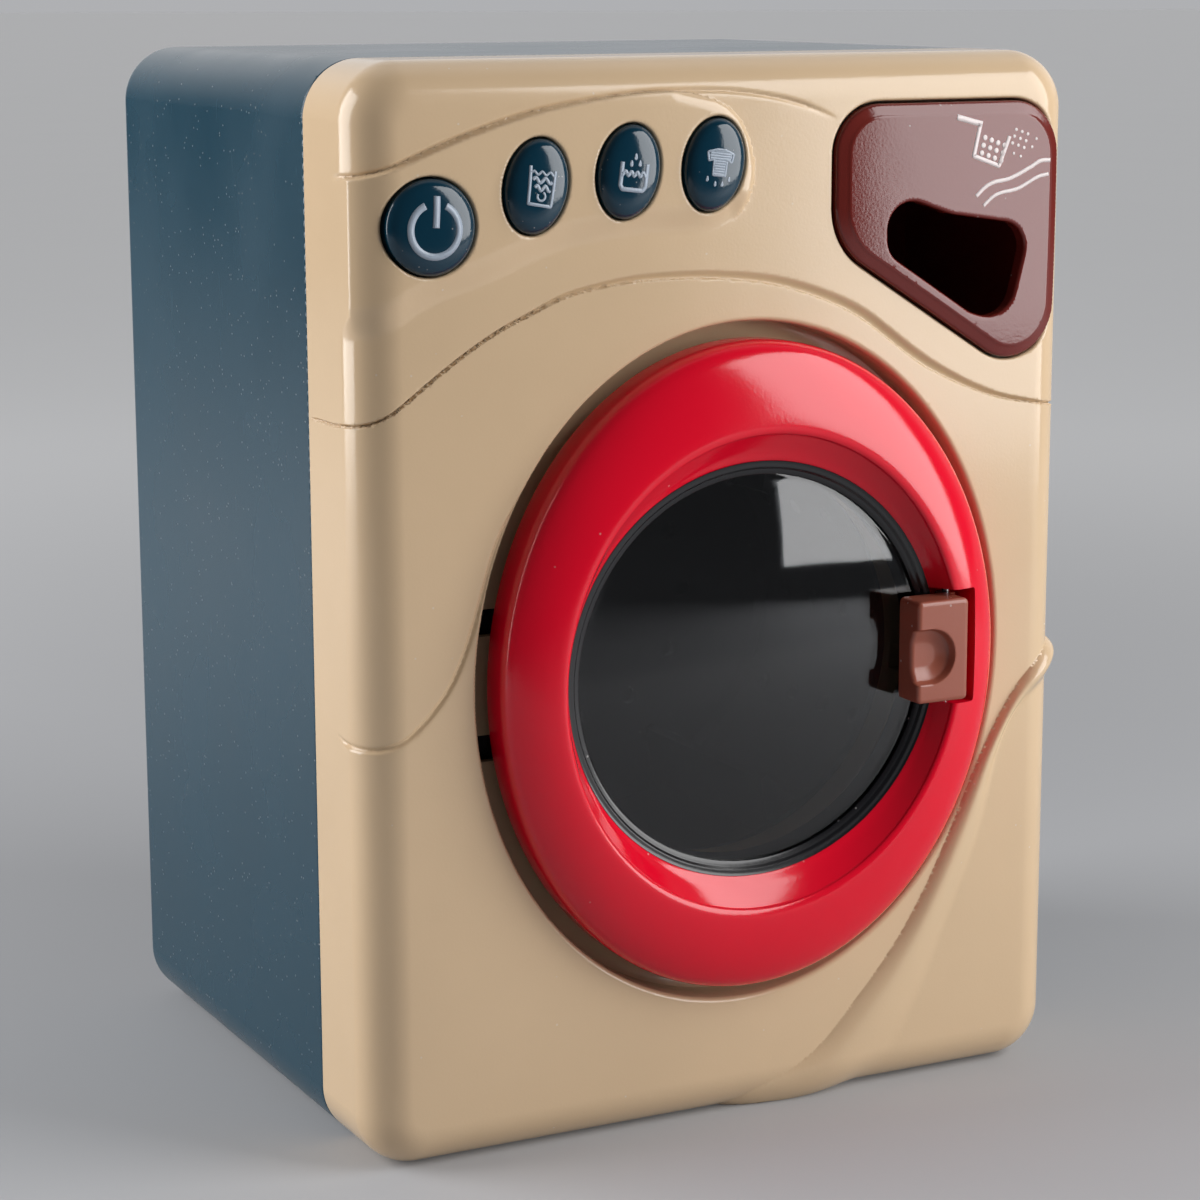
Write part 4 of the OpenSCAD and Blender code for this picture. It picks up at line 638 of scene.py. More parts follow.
doorCut = {"loop": ovalLoop(doorCentre, machine["recessX"], machine["recessZ"], 240), "round": 1.2, "depth": 1.25}
powerAt, washAt, rinseAt, spinAt = (-72.9, 206.1), (-48.6, 213.7), (-26.8, 216.1), (-6.1, 217.0)
buttonCuts = [{"loop": ovalLoop(powerAt, 10.45, 10.45, 96), "round": 0.7, "depth": 5.9}] + [
    {"loop": ovalLoop(at, 7.65, 10.45, 96, -12.0), "round": 0.7, "depth": 5.9} for at in (washAt, rinseAt, spinAt)]
drawer = {"left": 25.1, "right": 83.7, "top": 229.0, "toe": 161.1, "slope": 0.634, "gap": 0.5, "proud": 2.0, "wall": 1.8}
drawerCorners = [(drawer["left"], drawer["toe"] + drawer["slope"] * (drawer["right"] - drawer["left"]), 15.0),
                 (drawer["right"], drawer["toe"], 12.0), (drawer["right"], drawer["top"], 12.0),
                 (drawer["left"], drawer["top"], 11.0)]
drawerLoop = evenSteps(roundedLoop(drawerCorners, 14), 1.0)
drawerCut = {"loop": layOut(grownLoop(drawerLoop, drawer["gap"])), "round": 0.7, "depth": 2.6}
frontCuts = [doorCut, drawerCut] + buttonCuts


# Height of the front shell's relief, in mm along its normal, at laid-out points
def frontRise(q):
    _, _, a = coreSplit(q, frontShape)
    # raised panel: quick at the groove, a quarter round at its end, a long S at its lower side
    top = np.clip(lineDistance(q, laidOut["groove"], reach=10)[0] / relief["finLip"], 0, 1)
    end = np.clip(lineDistance(q, laidOut["finEnd"], reach=6)[0] / relief["finEndWide"], 0, 1)
    low = smoothStep(lineDistance(q, laidOut["finLow"], reach=11)[0], 0, relief["finLowWide"])
    panel = relief["fin"] * np.sin(top * np.pi / 2) * np.sqrt(1 - (1 - end) ** 2) * low
    height = np.where(insideLoop(q, panelLoop), panel * (1 - smoothStep(a, 10, 16)), 0)
    # fine grooves: -h exp(-(d / w)^2), fading at their free ends
    d, _, share = lineDistance(q, laidOut["groove"], reach=10)
    groove = relief["groove"] * np.exp(-(d / relief["grooveWide"]) ** 2)
    height -= groove * (1 - smoothStep(share, 0.9, 1)) * (1 - smoothStep(a, 13, 19))
    d, _, share = lineDistance(q, laidOut["swirl"], reach=4)
    swirl = relief["swirl"] * np.exp(-(d / relief["swirlWide"]) ** 2)
    height -= swirl * (1 - smoothStep(share, 0.94, 1)) * (1 - smoothStep(a, 14, 22))
    # arch: sinks slowly below its line over its width w, and comes back up at once
    d, side, _ = lineDistance(q, laidOut["arch"], reach=6)
    t = np.where(side < 0, d, -d) / np.interp(q[:, 0], archWidth["x"], archWidth["wide"])
    fade = 1 - smoothStep(a, 29, 33)
    height -= relief["arch"] * smoothStep(t, 0, 0.75) * (1 - smoothStep(t, 0.84, 1.0)) * fade
    # ribbon: t runs from the crease to the soft side, rising as a sine to the crest and falling as an S
    dSharp = lineDistance(q, laidOut["sharp"], reach=60)[0]
    dSoft = lineDistance(q, laidOut["soft"], reach=60)[0]
    t = dSharp / np.maximum(dSharp + dSoft, 1e-9)
    crest = relief["crest"]
    profile = np.where(t < crest, np.sin(np.clip(t / crest, 0, 1) * np.pi / 2) ** 0.8, 1 - smoothStep(t, crest, 1))
    height += np.where(insideLoop(q, ribbonLoop), relief["ribbon"] * profile * (1 - smoothStep(a, 18, 29)), 0)
    return height


# Points in rows beside the openings, at shares of their rounding
def rowsBeside(cuts, step):
    rows = []
    for cut in cuts:
        for share in (0.12, 0.35, 0.65, 1.0, 1.6):
            rows.append(evenSteps(grownLoop(cut["loop"], cut["round"] * share), step))
    return np.vstack(rows)


# A line in even steps, with the unit vector to the left of each of its points
def lineSides(line, step):
    line = evenSteps(line, step, False)
    t = np.gradient(line, axis=0)
    t /= np.linalg.norm(t, axis=1, keepdims=True)
    return line, np.column_stack([-t[:, 1], t[:, 0]])


# Points in rows along the relief's lines, at distances that follow each line's profile
def rowsAlong():
    rows = []
    across = (-1.3, -0.9, -0.5, -0.25, 0, 0.25, 0.5, 0.9, 1.3)
    for key, gaps in (("groove", across), ("swirl", across), ("sharp", (-0.3, 0, 0.3, 0.8, 1.6))):
        line, side = lineSides(laidOut[key], 0.8)
        rows += [line + side * g for g in gaps]
    line, side = lineSides(laidOut["arch"], 0.8)
    side = -side * np.interp(line[:, 0], archWidth["x"], archWidth["wide"])[:, None]
    rows += [line + side * g for g in (-0.1, 0, 0.2, 0.4, 0.6, 0.78, 0.86, 0.92, 1.0, 1.15)]
    return np.vstack(rows)


frontGrid = {"step": 4.8, "levels": 3, "tolerance": 0.08, "edge": 1.6}
for cut in frontCuts:
    cut["loop"] = evenSteps(cut["loop"], 0.8)
makeShell("frontShell", frontShape, frontRise, frontCuts, frontGrid, "casing",
          materials["beige_shell"], ("front_bezel",), extra=np.vstack([rowsBeside(frontCuts, 0.9), rowsAlong()]),
          follow=np.vstack([evenSteps(laidOut[key], 0.6, False) for key in ("groove", "finEnd", "finLow", "arch", "sharp")]))
print("front shell made")


# ---- helpers for the other pieces

# Places from a flat outline at a depth: (x, frontY + depth, z)
def atDepth(loop, depth):
    return np.column_stack([loop[:, 0], np.broadcast_to(frontY + np.asarray(depth, float), len(loop)), loop[:, 1]])


# Skin over rings of equal length, each an (n, 3) array; ends are closed with a fan, or the rows close on themselves
def loftRings(rings, closeRows=False, caps=(True, True)):
    m, n = len(rings), len(rings[0])
    vertices = np.vstack(rings)
    faces = gridFaces(m, n, closeRows).tolist()
    if not closeRows:
        for end, want in enumerate(caps):
            if want:
                row = 0 if end == 0 else m - 1
                middle = len(vertices)
                vertices = np.vstack([vertices, rings[row].mean(0)])
                k = np.arange(n)
                a, b = row * n + k, row * n + (k + 1) % n
                a, b = (b, a) if end == 0 else (a, b)
                faces += np.column_stack([a, b, np.full(n, middle)]).tolist()
    return vertices, faces


# Makes every face point outwards: a closed mesh whose signed volume is negative is turned over
def outwards(vertices, faces):
    v = np.asarray(vertices)
    total = 0.0
    for f in faces:
        a = v[f[0]]
        for k in range(1, len(f) - 1):
            total += np.dot(a, np.cross(v[f[k]], v[f[k + 1]]))
    return [list(reversed(f)) for f in faces] if total < 0 else faces


# Shades a piece smoothly but for edges sharper than the angle, in degrees
def softenPiece(piece, angle):
    piece.data.set_sharp_from_angle(angle=math.radians(angle))


def makeSolid(name, vertices, faces, body, slotName, replaced=(), angle=35, material=None):
    piece = makePiece(name, vertices, outwards(vertices, faces), body, material or materials[slotName], replaced)
    softenPiece(piece, angle)
    return piece


# Takes the cutter solids away from a piece for good
def carve(piece, cutters):
    for vertices, faces in cutters:
        mesh = bpy.data.meshes.new("cutter")
        mesh.from_pydata((np.asarray(vertices) * 0.001).tolist(), [], [list(map(int, f)) for f in outwards(vertices, faces)])
        cutter = bpy.data.objects.new("cutter", mesh)
        bpy.context.collection.objects.link(cutter)
        change = piece.modifiers.new("cut", "BOOLEAN")
        change.operation, change.solver, change.object = "DIFFERENCE", "EXACT", cutter
        view = bpy.context.evaluated_depsgraph_get()
        result = bpy.data.meshes.new_from_object(piece.evaluated_get(view))
        piece.modifiers.clear()
        old = piece.data
        piece.data = result
        bpy.data.meshes.remove(old)
        bpy.data.objects.remove(cutter)
        bpy.data.meshes.remove(mesh)


def blockSolid(x0, x1, d0, d1, z0, z1):
    loop = np.array([(x0, z0), (x1, z0), (x1, z1), (x0, z1)], float)
    return loftRings([atDepth(loop, d0), atDepth(loop, d1)])


# ---- the recess that the door lies in: its wall, floor and the collar round the drum's mouth
well = {"wall": 2.2, "mouth": 46.0,
        "hingeX": -68.5, "hingeDepth": 5.5, "hingeHeights": (91.4, 119.4), "armHigh": 6.0, "sweep": 18.9}


def makeWell():
    cx, cz, w = machine["recessX"], machine["recessZ"], well["wall"]
    steps = [(0, 0, 1.2), (0, 0, 4.0), (0, 0, 7.6), (-0.3, -0.3, 8.5), (-1.4, -1.4, 9.0)]
    rings = [atDepth(ovalLoop(doorCentre, cx + a, cz + b, 192), d) for a, b, d in steps]
    mouth = [(6.0, 9.0), (1.2, 9.0), (0.35, 9.3), (0, 10.0), (0, 16.3), (5.5, 16.3), (5.5, 11.2)]
    rings += [atDepth(ovalLoop(doorCentre, well["mouth"] + a, well["mouth"] + a, 192), d) for a, d in mouth]
    rings += [atDepth(ovalLoop(doorCentre, cx + w, cz + w, 192), d) for d in (11.2, 1.6)]
    vertices, faces = loftRings(rings, closeRows=True)
    piece = makeSolid("recessWell", vertices, faces, "casing", "beige_shell", ("front_bezel",), 40)
    cutters = []
    for height in well["hingeHeights"]:
        t = np.linspace(-0.45, np.pi / 2 + 0.1, 40)
        arc = np.column_stack([well["hingeX"] + well["sweep"] * np.cos(t), well["hingeDepth"] + well["sweep"] * np.sin(t)])
        arc = np.vstack([[well["hingeX"] - 2, well["hingeDepth"] - 2], arc])
        rings = [np.column_stack([arc[:, 0], frontY + arc[:, 1], np.full(len(arc), z)])
                 for z in (height - well["armHigh"] / 2, height + well["armHigh"] / 2)]
        cutters.append(loftRings(rings))
    cutters.append(blockSolid(47.9, 57.0, 8, 13.7, 97.9, 103.9))
    carve(piece, cutters)
    softenPiece(piece, 40)


makeWell()


# ---- rear shell: wall, battery opening, sound holes and a broken edge at the seam
rear = {"cover": (27.6, 29.9), "coverMid": 41.0, "soundAt": (-44.0, 194.0), "holeRadius": 1.4,
        "screwHoles": [(-80, 18), (80, 18), (-80, 150), (80, 150), (-78, 231), (14.1, 232)]}
rearLimit = rearShape["fillet"] * (np.pi / 2 - 1) + rearShape["reach"]


# Rows of points along the seam, where the edge is broken
def seamRows(shape, limit, insets, step):
    inner = np.array(shape["half"]) - shape["corner"]
    rows = []
    for inset in insets:
        r = shape["corner"] + limit - inset
        w = inner + r
        corners = [(sx * w[0], shellCentre[1] + sz * w[1], r) for sx, sz in ((-1, -1), (1, -1), (1, 1), (-1, 1))]
        rows.append(evenSteps(roundedLoop(corners, 24), step))
    return np.vstack(rows)


# Broken edge at the seam: -h times a smooth step over the last part of the side
def rearRise(q):
    _, _, a = coreSplit(q, rearShape)
    return -0.35 * smoothStep(a, rearLimit - 0.7, rearLimit - 0.1)


def makeRear():
    w, h = rear["cover"][0] - 2.8, rear["cover"][1]
    z = rear["coverMid"] - 1
    opening = evenSteps(roundedLoop([(-24.8, z - 29.9, 2), (24.8, z - 29.9, 2), (24.8, z + 29.9, 2), (5.3, z + 29.9, 0.4),
                                     (5.3, 79.4, 5.2), (-5.3, 79.4, 5.2), (-5.3, z + 29.9, 0.4),
                                      (-24.8, z + 29.9, 2)], 6), 1.2)
    cuts = [{"loop": opening, "round": 0.4, "depth": 2.5}]
    sound = np.array(rear["soundAt"])
    holes = [sound] + [sound + r * np.array([math.cos(t), math.sin(t)]) for k, r in ((1, 5), (2, 10), (3, 15))
                       for t in np.arange(6 * k) * 2 * np.pi / (6 * k)]
    cuts += [{"loop": ovalLoop(p, rear["holeRadius"], rear["holeRadius"], 20), "round": 0.3, "depth": 2.5} for p in holes]
    cuts += [{"loop": ovalLoop(p, 3.25, 3.25, 32), "round": 0.4, "depth": 2.5} for p in rear["screwHoles"]]
    grid = {"step": 6.4, "levels": 3, "tolerance": 0.12, "edge": 2.4}
    rows = [grownLoop(c["loop"], c["round"] * s) for c in cuts for s in (0.35, 1.0, 1.8)]
    seam = seamRows(rearShape, rearLimit, (0.7, 0.4), 2.4)
    makeShell("rearShell", rearShape, rearRise, cuts, grid, "casing", materials["teal_shell"],
              ("rear_casing",), extra=np.vstack(rows + [seam]))
    # posts that the long casing screws lie in: tubes from the back wall to a floor near the seam
    rings = [(4.6, 145.6), (4.6, 28.4), (1.7, 28.4), (1.7, 31.0), (3.25, 31.0), (3.25, 145.6)]
    vertices, faces = [], []
    for p in rear["screwHoles"]:
        v, f = loftRings([atDepth(ovalLoop(p, r, r, 40), d) for r, d in rings], closeRows=True)
        faces += [[k + len(vertices) for k in g] for g in outwards(v, f)]
        vertices += v.tolist()
    piece = makePiece("rearPosts", vertices, faces, "casing", materials["teal_inner"], ("rear_casing",))
    softenPiece(piece, 35)


makeRear()
print("rear shell made")


# ---- the door: ring, window rim, pane
ring = {
    "outer": (62.5, 73.5), "inner": (49.5, 53.5),
    # share of the way from the outer oval to the inner one, and depth
    "face": [(0.0, -1.1), (0.004, -3.0), (0.03, -4.6), (0.075, -5.75), (0.14, -6.75), (0.25, -7.9), (0.4, -9.05),
             (0.58, -10.0), (0.76, -10.6), (0.88, -10.78), (0.95, -10.65), (0.99, -10.25), (1.0, -9.8)],
    # half width, half height and depth of the slope down to the window, and of the back
    "slope": [(48.8, 51.8, -8.4), (47.8, 49.2, -6.4), (47.0, 47.2, -5.2), (46.8, 46.8, -4.6)],
    "back": [(46.8, 46.8, 2.6), (50.0, 50.0, 3.0), (59.5, 70.5, 3.0), (60.0, 71.0, 4.0), (61.7, 72.7, 4.0),
             (62.4, 73.4, 3.3)],
    "notch": (38.6, 57.6, -15.8, -0.5, 93.65, 120.15),
}


# Ring: half sizes run from the outer oval to the inner one by share u, then down the slope
def makeRing():
    face = smoothCurve(ring["face"], 6)
    u = face[:, :1]
    halves = np.array(ring["outer"]) * (1 - u) + np.array(ring["inner"]) * u
    slope = smoothCurve([(ring["inner"][0], ring["inner"][1], ring["face"][-1][1])] + ring["slope"], 4)
    section = np.vstack([np.column_stack([halves, face[:, 1]]), slope[1:], ring["back"]])
    rings = [atDepth(ovalLoop(doorCentre, rx, rz, 224), d) for rx, rz, d in section]
    vertices, faces = loftRings(rings, closeRows=True)
    piece = makeSolid("doorRing", vertices, faces, "door", "red_shell", ("door_ring",), 40)
    x0, x1, d0, d1, z0, z1 = ring["notch"]
    loop = roundedLoop([(x0, z0, 0.8), (x1, z0, 0.8), (x1, z1, 0.8), (x0, z1, 0.8)], 5)
    carve(piece, [loftRings([atDepth(loop, d0), atDepth(loop, d1)])])
    softenPiece(piece, 40)


def makeTurned(name, section, body, slotName, replaced, segments=160, angle=35, at=doorCentre, closeRows=True):
    rings = [atDepth(ovalLoop(at, r, r, segments), d) for r, d in section]
    vertices, faces = loftRings(rings, closeRows=closeRows)
    return makeSolid(name, vertices, faces, body, slotName, replaced, angle)


makeRing()
# rim: a bright step, a narrow flat and a rounded lip that holds the pane
rim = [(47.0, -5.2), (47.0, -3.3), (43.9, -3.3), (43.9, -3.9), (44.2, -4.15), (44.7, -4.25), (45.1, -4.35), (45.35, -4.6),
       (45.6, -4.85), (46.0, -4.95), (46.4, -4.95), (46.7, -5.05)]
makeTurned("windowRim", rim[::-1], "door", "black_trim", ("window_rim",), 224, 30)


# Pane: a shallow dome, depth d0 - rise (1 - (r / R)^2) on both faces
def makePane():
    radii = np.array([46.9, 46.9, 46.5] + list(np.linspace(43.2, 0.01, 40)) + list(np.linspace(0.01, 43.2, 40)))
    front = -3.2 - 1.6 * (1 - (np.linspace(43.2, 0.01, 40) / 43.2) ** 2)
    back = -1.3 - 1.6 * (1 - (np.linspace(0.01, 43.2, 40) / 43.2) ** 2)
    depths = np.array([-1.4, -3.0, -3.2] + list(front) + list(back))
    return makeTurned("windowPane", list(zip(radii, depths)), "door", "smoked_window", ("door_window",), 160, 35)


# Smoked glass: a see-through base darkened in its depth, with fine wipe marks in its roughness
def makeGlass(name, look):
    material = bpy.data.materials.new(name)
    material.use_nodes = True
    tree = material.node_tree
    shader = tree.nodes["Principled BSDF"]
    place = addNode(tree, "ShaderNodeTexCoord").outputs["Object"]
    marks = addNode(tree, "ShaderNodeGroup", node_tree=marksGroup)
    tree.links.new(place, marks.inputs[0])
    marks.inputs["Patch Size"].default_value = 40.0
    marks.inputs["Dust Share"].default_value = look["dustShare"]
    marks.inputs["Dust Size"].default_value = 900.0
    dusted = addNode(tree, "ShaderNodeMix", data_type="RGBA")
    tree.links.new(addMath(tree, "MULTIPLY", marks.outputs["Dust"], 0.2), dusted.inputs[0])
    dusted.inputs[6].default_value = look["colour"]
    dusted.inputs[7].default_value = (0.5, 0.5, 0.5, 1.0)
    tree.links.new(dusted.outputs[2], shader.inputs["Base Color"])
    rough = addMath(tree, "ADD", addMath(tree, "MULTIPLY", marks.outputs["Patches"], 0.03), look["roughness"])
    rough = addMath(tree, "ADD", rough, addMath(tree, "MULTIPLY", marks.outputs["Scratches"], 0.06))
    tree.links.new(rough, shader.inputs["Roughness"])
    shader.inputs["Transmission Weight"].default_value = look["transmission"]
    shader.inputs["IOR"].default_value = 1.5
    skin = addNode(tree, "ShaderNodeGroup", node_tree=mouldGroup)
    tree.links.new(place, skin.inputs[0])
    skin.inputs["Swell"].default_value = 0.25
    skin.inputs["Grain"].default_value = 0.0
    bump = addNode(tree, "ShaderNodeBump", {"Height": skin.outputs[0], "Distance": 0.001, "Strength": 0.2})
    tree.links.new(bump.outputs[0], shader.inputs["Normal"])
    return material


materials["smoked_window"] = makeGlass("smoked_window", {"colour": screenColour(150, 152, 156), "roughness": 0.01,
                                                         "transmission": 1.0, "dustShare": 0.015})
makePane()
print("door made")


# ---- latch: grip with a round thumb hollow, its hub and the hook behind the ring
latch = {"x": (40.1, 53.6), "z": (95.15, 118.65), "front": -13.6, "hollow": (43.7, 105.9, 6.2), "hollowDeep": 3.0}


# Grip's front: depth -13.6, and in the hollow 3 mm deeper with a soft floor edge and a lip rounded by 0.5
def gripDepth(q):
    cx, cz, r = latch["hollow"]
    capsule = np.hypot(np.maximum(q[:, 0] - cx, 0), q[:, 1] - cz) - r
    deep = smoothStep(-capsule, -0.25, 0.45) * 0.62 + smoothStep(-capsule, 0.2, 3.6) * 0.38
    x0, x1 = latch["x"]
    z0, z1 = latch["z"]
    edge = np.minimum(np.minimum(q[:, 0] - x0, x1 - q[:, 0]), np.minimum(q[:, 1] - z0, z1 - q[:, 1]))
    r = 0.9
    drop = r - np.sqrt(np.maximum(r * r - (r - np.clip(edge, 0, r)) ** 2, 0))
    return latch["front"] + deep * latch["hollowDeep"] + drop


def makeGrip():
    x0, x1 = latch["x"]
    z0, z1 = latch["z"]
    border = np.array([0, 0.06, 0.2, 0.45, 0.9])
    xs = np.concatenate([x0 + border, np.linspace(x0 + 1.1, x1 - 1.1, 56), x1 - border[::-1]])
    zs = np.concatenate([z0 + border, np.linspace(z0 + 1.1, z1 - 1.1, 104), z1 - border[::-1]])
    q = np.stack(np.meshgrid(xs, zs, indexing="ij"), 2).reshape(-1, 2)
    # the outline's corners are drawn in to a radius of 1.2
    r = 1.2
    near = np.clip(q, [x0 + r, z0 + r], [x1 - r, z1 - r])
    d = q - near
    far = np.abs(d).max(1) / np.maximum(np.linalg.norm(d, axis=1), 1e-9)
    seat = near + d * np.where((np.abs(d) > 1e-9).all(1), far, 1)[:, None]
    front = np.column_stack([seat[:, 0], frontY + gripDepth(q), seat[:, 1]])
    m, n = len(xs), len(zs)
    top = gridFaces(m, n, False, False).tolist()
    i = np.arange(m * n).reshape(m, n)
    ringIds = np.concatenate([i[:, 0], i[-1, 1:], i[-2::-1, -1], i[0, -2:0:-1]])
    count = len(front)
    back = front[ringIds].copy()
    back[:, 1] = frontY - 5.7
    faces = top
    k = np.arange(len(ringIds))
    nextId = (k + 1) % len(k)
    faces += np.column_stack([ringIds[k], count + k, count + nextId, ringIds[nextId]]).tolist()
    vertices = np.vstack([front, back, back.mean(0)])
    faces += np.column_stack([count + k, np.full(len(k), len(vertices) - 1), count + nextId]).tolist()
    piece = makePiece("latchGrip", vertices, faces, "latch", materials["latch_brown"], ("door_latch",))
    piece.data.validate()
    softenPiece(piece, 40)
    # hub and hook
    hub = ovalLoop((53.5, 0), 2.3, 2.3, 48)
    v1, f1 = loftRings([np.column_stack([hub[:, 0], frontY - 3.8 + hub[:, 1], np.full(48, z)]) for z in (95.3, 118.5)])
    v2, f2 = blockSolid(51.6, 53.6, -5.8, -3.8, 95.3, 118.5)
    hook = [(52.0, -3.8), (55.0, -3.8), (55.0, 11.3), (56.4, 11.5), (56.1, 12.6), (55.0, 13.0), (52.0, 13.0)]
    v3, f3 = loftRings([np.array([[x, frontY + d, z] for x, d in hook]) for z in (97.9, 103.9)])
    vertices, faces = [], []
    for v, f in ((v1, f1), (v2, f2), (v3, f3)):
        faces += [[int(a) + len(vertices) for a in g] for g in outwards(v, f)]
        vertices += np.asarray(v).tolist()
    piece = makePiece("latchHook", vertices, faces, "latch", materials["latch_brown"], ("door_latch",))
    change = piece.modifiers.new("edge", "BEVEL")
    change.width, change.segments, change.limit_method = 0.0002, 2, "ANGLE"
    softenPiece(piece, 35)


makeGrip()


# ---- buttons: domed caps with a skirt, flange and stem
# under: radius and depth below the flange, with a round pocket that takes the spring's end at full press
button = {"dome": 2.4, "top": -4.0, "lip": 1.4,
          "under": [(6.0, 7.45), (6.0, 5.7), (4.45, 5.7), (4.45, 7.45), (2.0, 7.5), (2.0, 10.2)]}


# Depth of the cap's face at outline share s: top + dome (0.55 s^3 + 0.45 s^14), a dome with a rounded shoulder
def capDepth(s):
    return button["top"] + button["dome"] * (0.55 * s ** 3.0 + 0.45 * s ** 14)


def makeButton(name, at, rx, rz, lean, body, replaced):
    shares = np.concatenate([np.linspace(0.03, 0.85, 18), np.linspace(0.87, 1.0, 14)])
    rings = [atDepth(ovalLoop(at, rx * s, rz * s, 128, lean), capDepth(s)) for s in shares]
    rings += [atDepth(ovalLoop(at, rx, rz, 128, lean), d) for d in (-1.2, 2.0, 6.2)]
    rings += [atDepth(ovalLoop(at, rx + button["lip"], rz + button["lip"], 128, lean), d) for d in (6.25, 7.4)]
    rings += [atDepth(ovalLoop(at, r, r, 128, lean), d) for r, d in button["under"]]
    vertices, faces = loftRings(rings)
    return makeSolid(name, vertices, faces, body, "teal_button", replaced, 45)


# name, place, half width, half height and lean in degrees
keys = [("power", powerAt, 10.0, 10.0, 0.0), ("wash", washAt, 7.2, 10.0, -12.0), ("rinse", rinseAt, 7.2, 10.0, -12.0),
        ("spin", spinAt, 7.2, 10.0, -12.0)]
for key, at, rx, rz, lean in keys:
    makeButton(key + "Cap", at, rx, rz, lean, key + "_key", (key + "_button",))
print("buttons made")


# ---- detergent drawer: bevelled front with its finger hole, and the tray behind it
drawerFace = {"bevel": 1.1, "bevelWide": 3.2, "edge": 0.5, "dome": 0.7, "domeAt": (56.0, 207.0), "domeReach": 34.0,
              "back": 1.0, "trayTop": 215.0}
fingerCorners = [(37.5, 210.0, 6.2), (54.1, 204.2, 18.0), (75.6, 201.0, 6.0), (70.1, 178.9, 7.0), (60.1, 181.9, 9.0),
                 (37.9, 196.0, 6.0)]


# Front of the drawer: proud 2, less a shallow dome, a bevel of slope bevel / bevelWide and a rounded edge
def drawerRise(q):
    s = np.maximum(-loopDistance(q, drawerLoop), 0)
    far = ((q - np.array(drawerFace["domeAt"])) ** 2).sum(1) / drawerFace["domeReach"] ** 2
    x = 1 - np.clip(s / drawerFace["bevelWide"], 0, 1)
    bevel = drawerFace["bevel"] * x * smoothStep(x, 0, 0.3)
    r = drawerFace["edge"]
    edge = r - np.sqrt(np.maximum(r * r - (r - np.clip(s, 0, r)) ** 2, 0))
    return drawer["proud"] + 0.5 - drawerFace["dome"] * far - bevel - edge


def makeDrawer():
    finger = evenSteps(roundedLoop(fingerCorners[::-1], 10), 0.8)
    shape = {"half": (500.0, 500.0), "corner": 1.0, "fillet": 10.0, "reach": 10.0, "front": True, "outline": drawerLoop}
    cuts = [{"loop": finger, "round": 0.8, "depth": drawerFace["back"]}]
    rows = [evenSteps(grownLoop(drawerLoop, -d), 1.0) for d in (0.45, 0.7, 1.2, 2.0, 2.6, 3.2, 4.0)]
    rows += [evenSteps(grownLoop(finger, 0.8 * s), 0.9) for s in (0.4, 0.65, 1.0, 1.6)]
    grid = {"step": 2.0, "levels": 0, "tolerance": 1.0, "edge": 1.0}
    makeShell("drawerFront", shape, drawerRise, cuts, grid, "drawer", materials["drawer_brown"],
              ("detergent_drawer",), wall=drawerFace["back"], extra=np.vstack(rows))
    # tray: the outline's lower part as a U of wall 1.8, and the back plate
    top = drawerFace["trayTop"]
    start = int(np.argmax(drawerLoop[:, 1]))
    loop = np.roll(drawerLoop, -start, 0)
    outer = loop[loop[:, 1] < top]
    within = grownLoop(drawerLoop, -drawer["wall"])
    within = np.roll(within, -start, 0)
    inner = within[loop[:, 1] < top]
    section = np.vstack([outer, inner[::-1]])
    vertices, faces = loftRings([atDepth(section, d) for d in (0.9, 20, 40, 61.9)], caps=(False, False))
    n = len(section)
    faces += [list(range(n))[::-1], list(range(3 * n, 4 * n))]
    plate, plateFaces = loftRings([atDepth(outer, d) for d in (60.2, 62.0)], caps=(False, False))
    m = len(outer)
    plateFaces += [list(range(m))[::-1], list(range(m, 2 * m))]
    faces = outwards(vertices, faces) + [[int(k) + len(vertices) for k in f] for f in outwards(plate, plateFaces)]
    piece = makePiece("drawerTray", np.vstack([vertices, plate]), faces, "drawer",
                      materials["drawer_brown"], ("detergent_drawer",))
    change = piece.modifiers.new("edge", "BEVEL")
    change.width, change.segments, change.limit_method, change.angle_limit = 0.0003, 2, "ANGLE", 1.0
    softenPiece(piece, 35)


makeDrawer()
print("drawer made")


# ---- printed marks: thin strokes laid on the buttons and the drawer
marks = {"thick": 0.04}


# Stroke: a strip of the given width along a line, its upper face lifted off the surface by the ink's thickness
def strokeMesh(line, width, surface, closed=False):
    p = evenSteps(np.asarray(line, float), 0.22, closed)
    if closed:
        t = np.roll(p, -1, 0) - np.roll(p, 1, 0)
    else:
        t = np.gradient(p, axis=0)
    t /= np.maximum(np.linalg.norm(t, axis=1, keepdims=True), 1e-9)
    side = np.column_stack([-t[:, 1], t[:, 0]]) * width / 2
    columns = []
    for shift, lift in ((1, 1), (0, 1), (-1, 1), (-1, -1), (0, -1), (1, -1)):
        q = p + side * shift
        columns.append(np.column_stack([q[:, 0], surface(q) - lift * marks["thick"], q[:, 1]]))
    return loftRings(list(np.stack(columns, 1)), closeRows=closed)


# Filled spot: rings that shrink to its middle, lifted in the same way
def spotMesh(loop, surface):
    loop = np.asarray(loop, float)
    middle = loop.mean(0)
    rings = []
    for share, lift in ((0.05, -1), (1, -1), (1, 1), (0.5, 1), (0.05, 1)):
        q = middle + (loop - middle) * share
        rings.append(np.column_stack([q[:, 0], surface(q) - lift * marks["thick"], q[:, 1]]))
    return loftRings(rings)


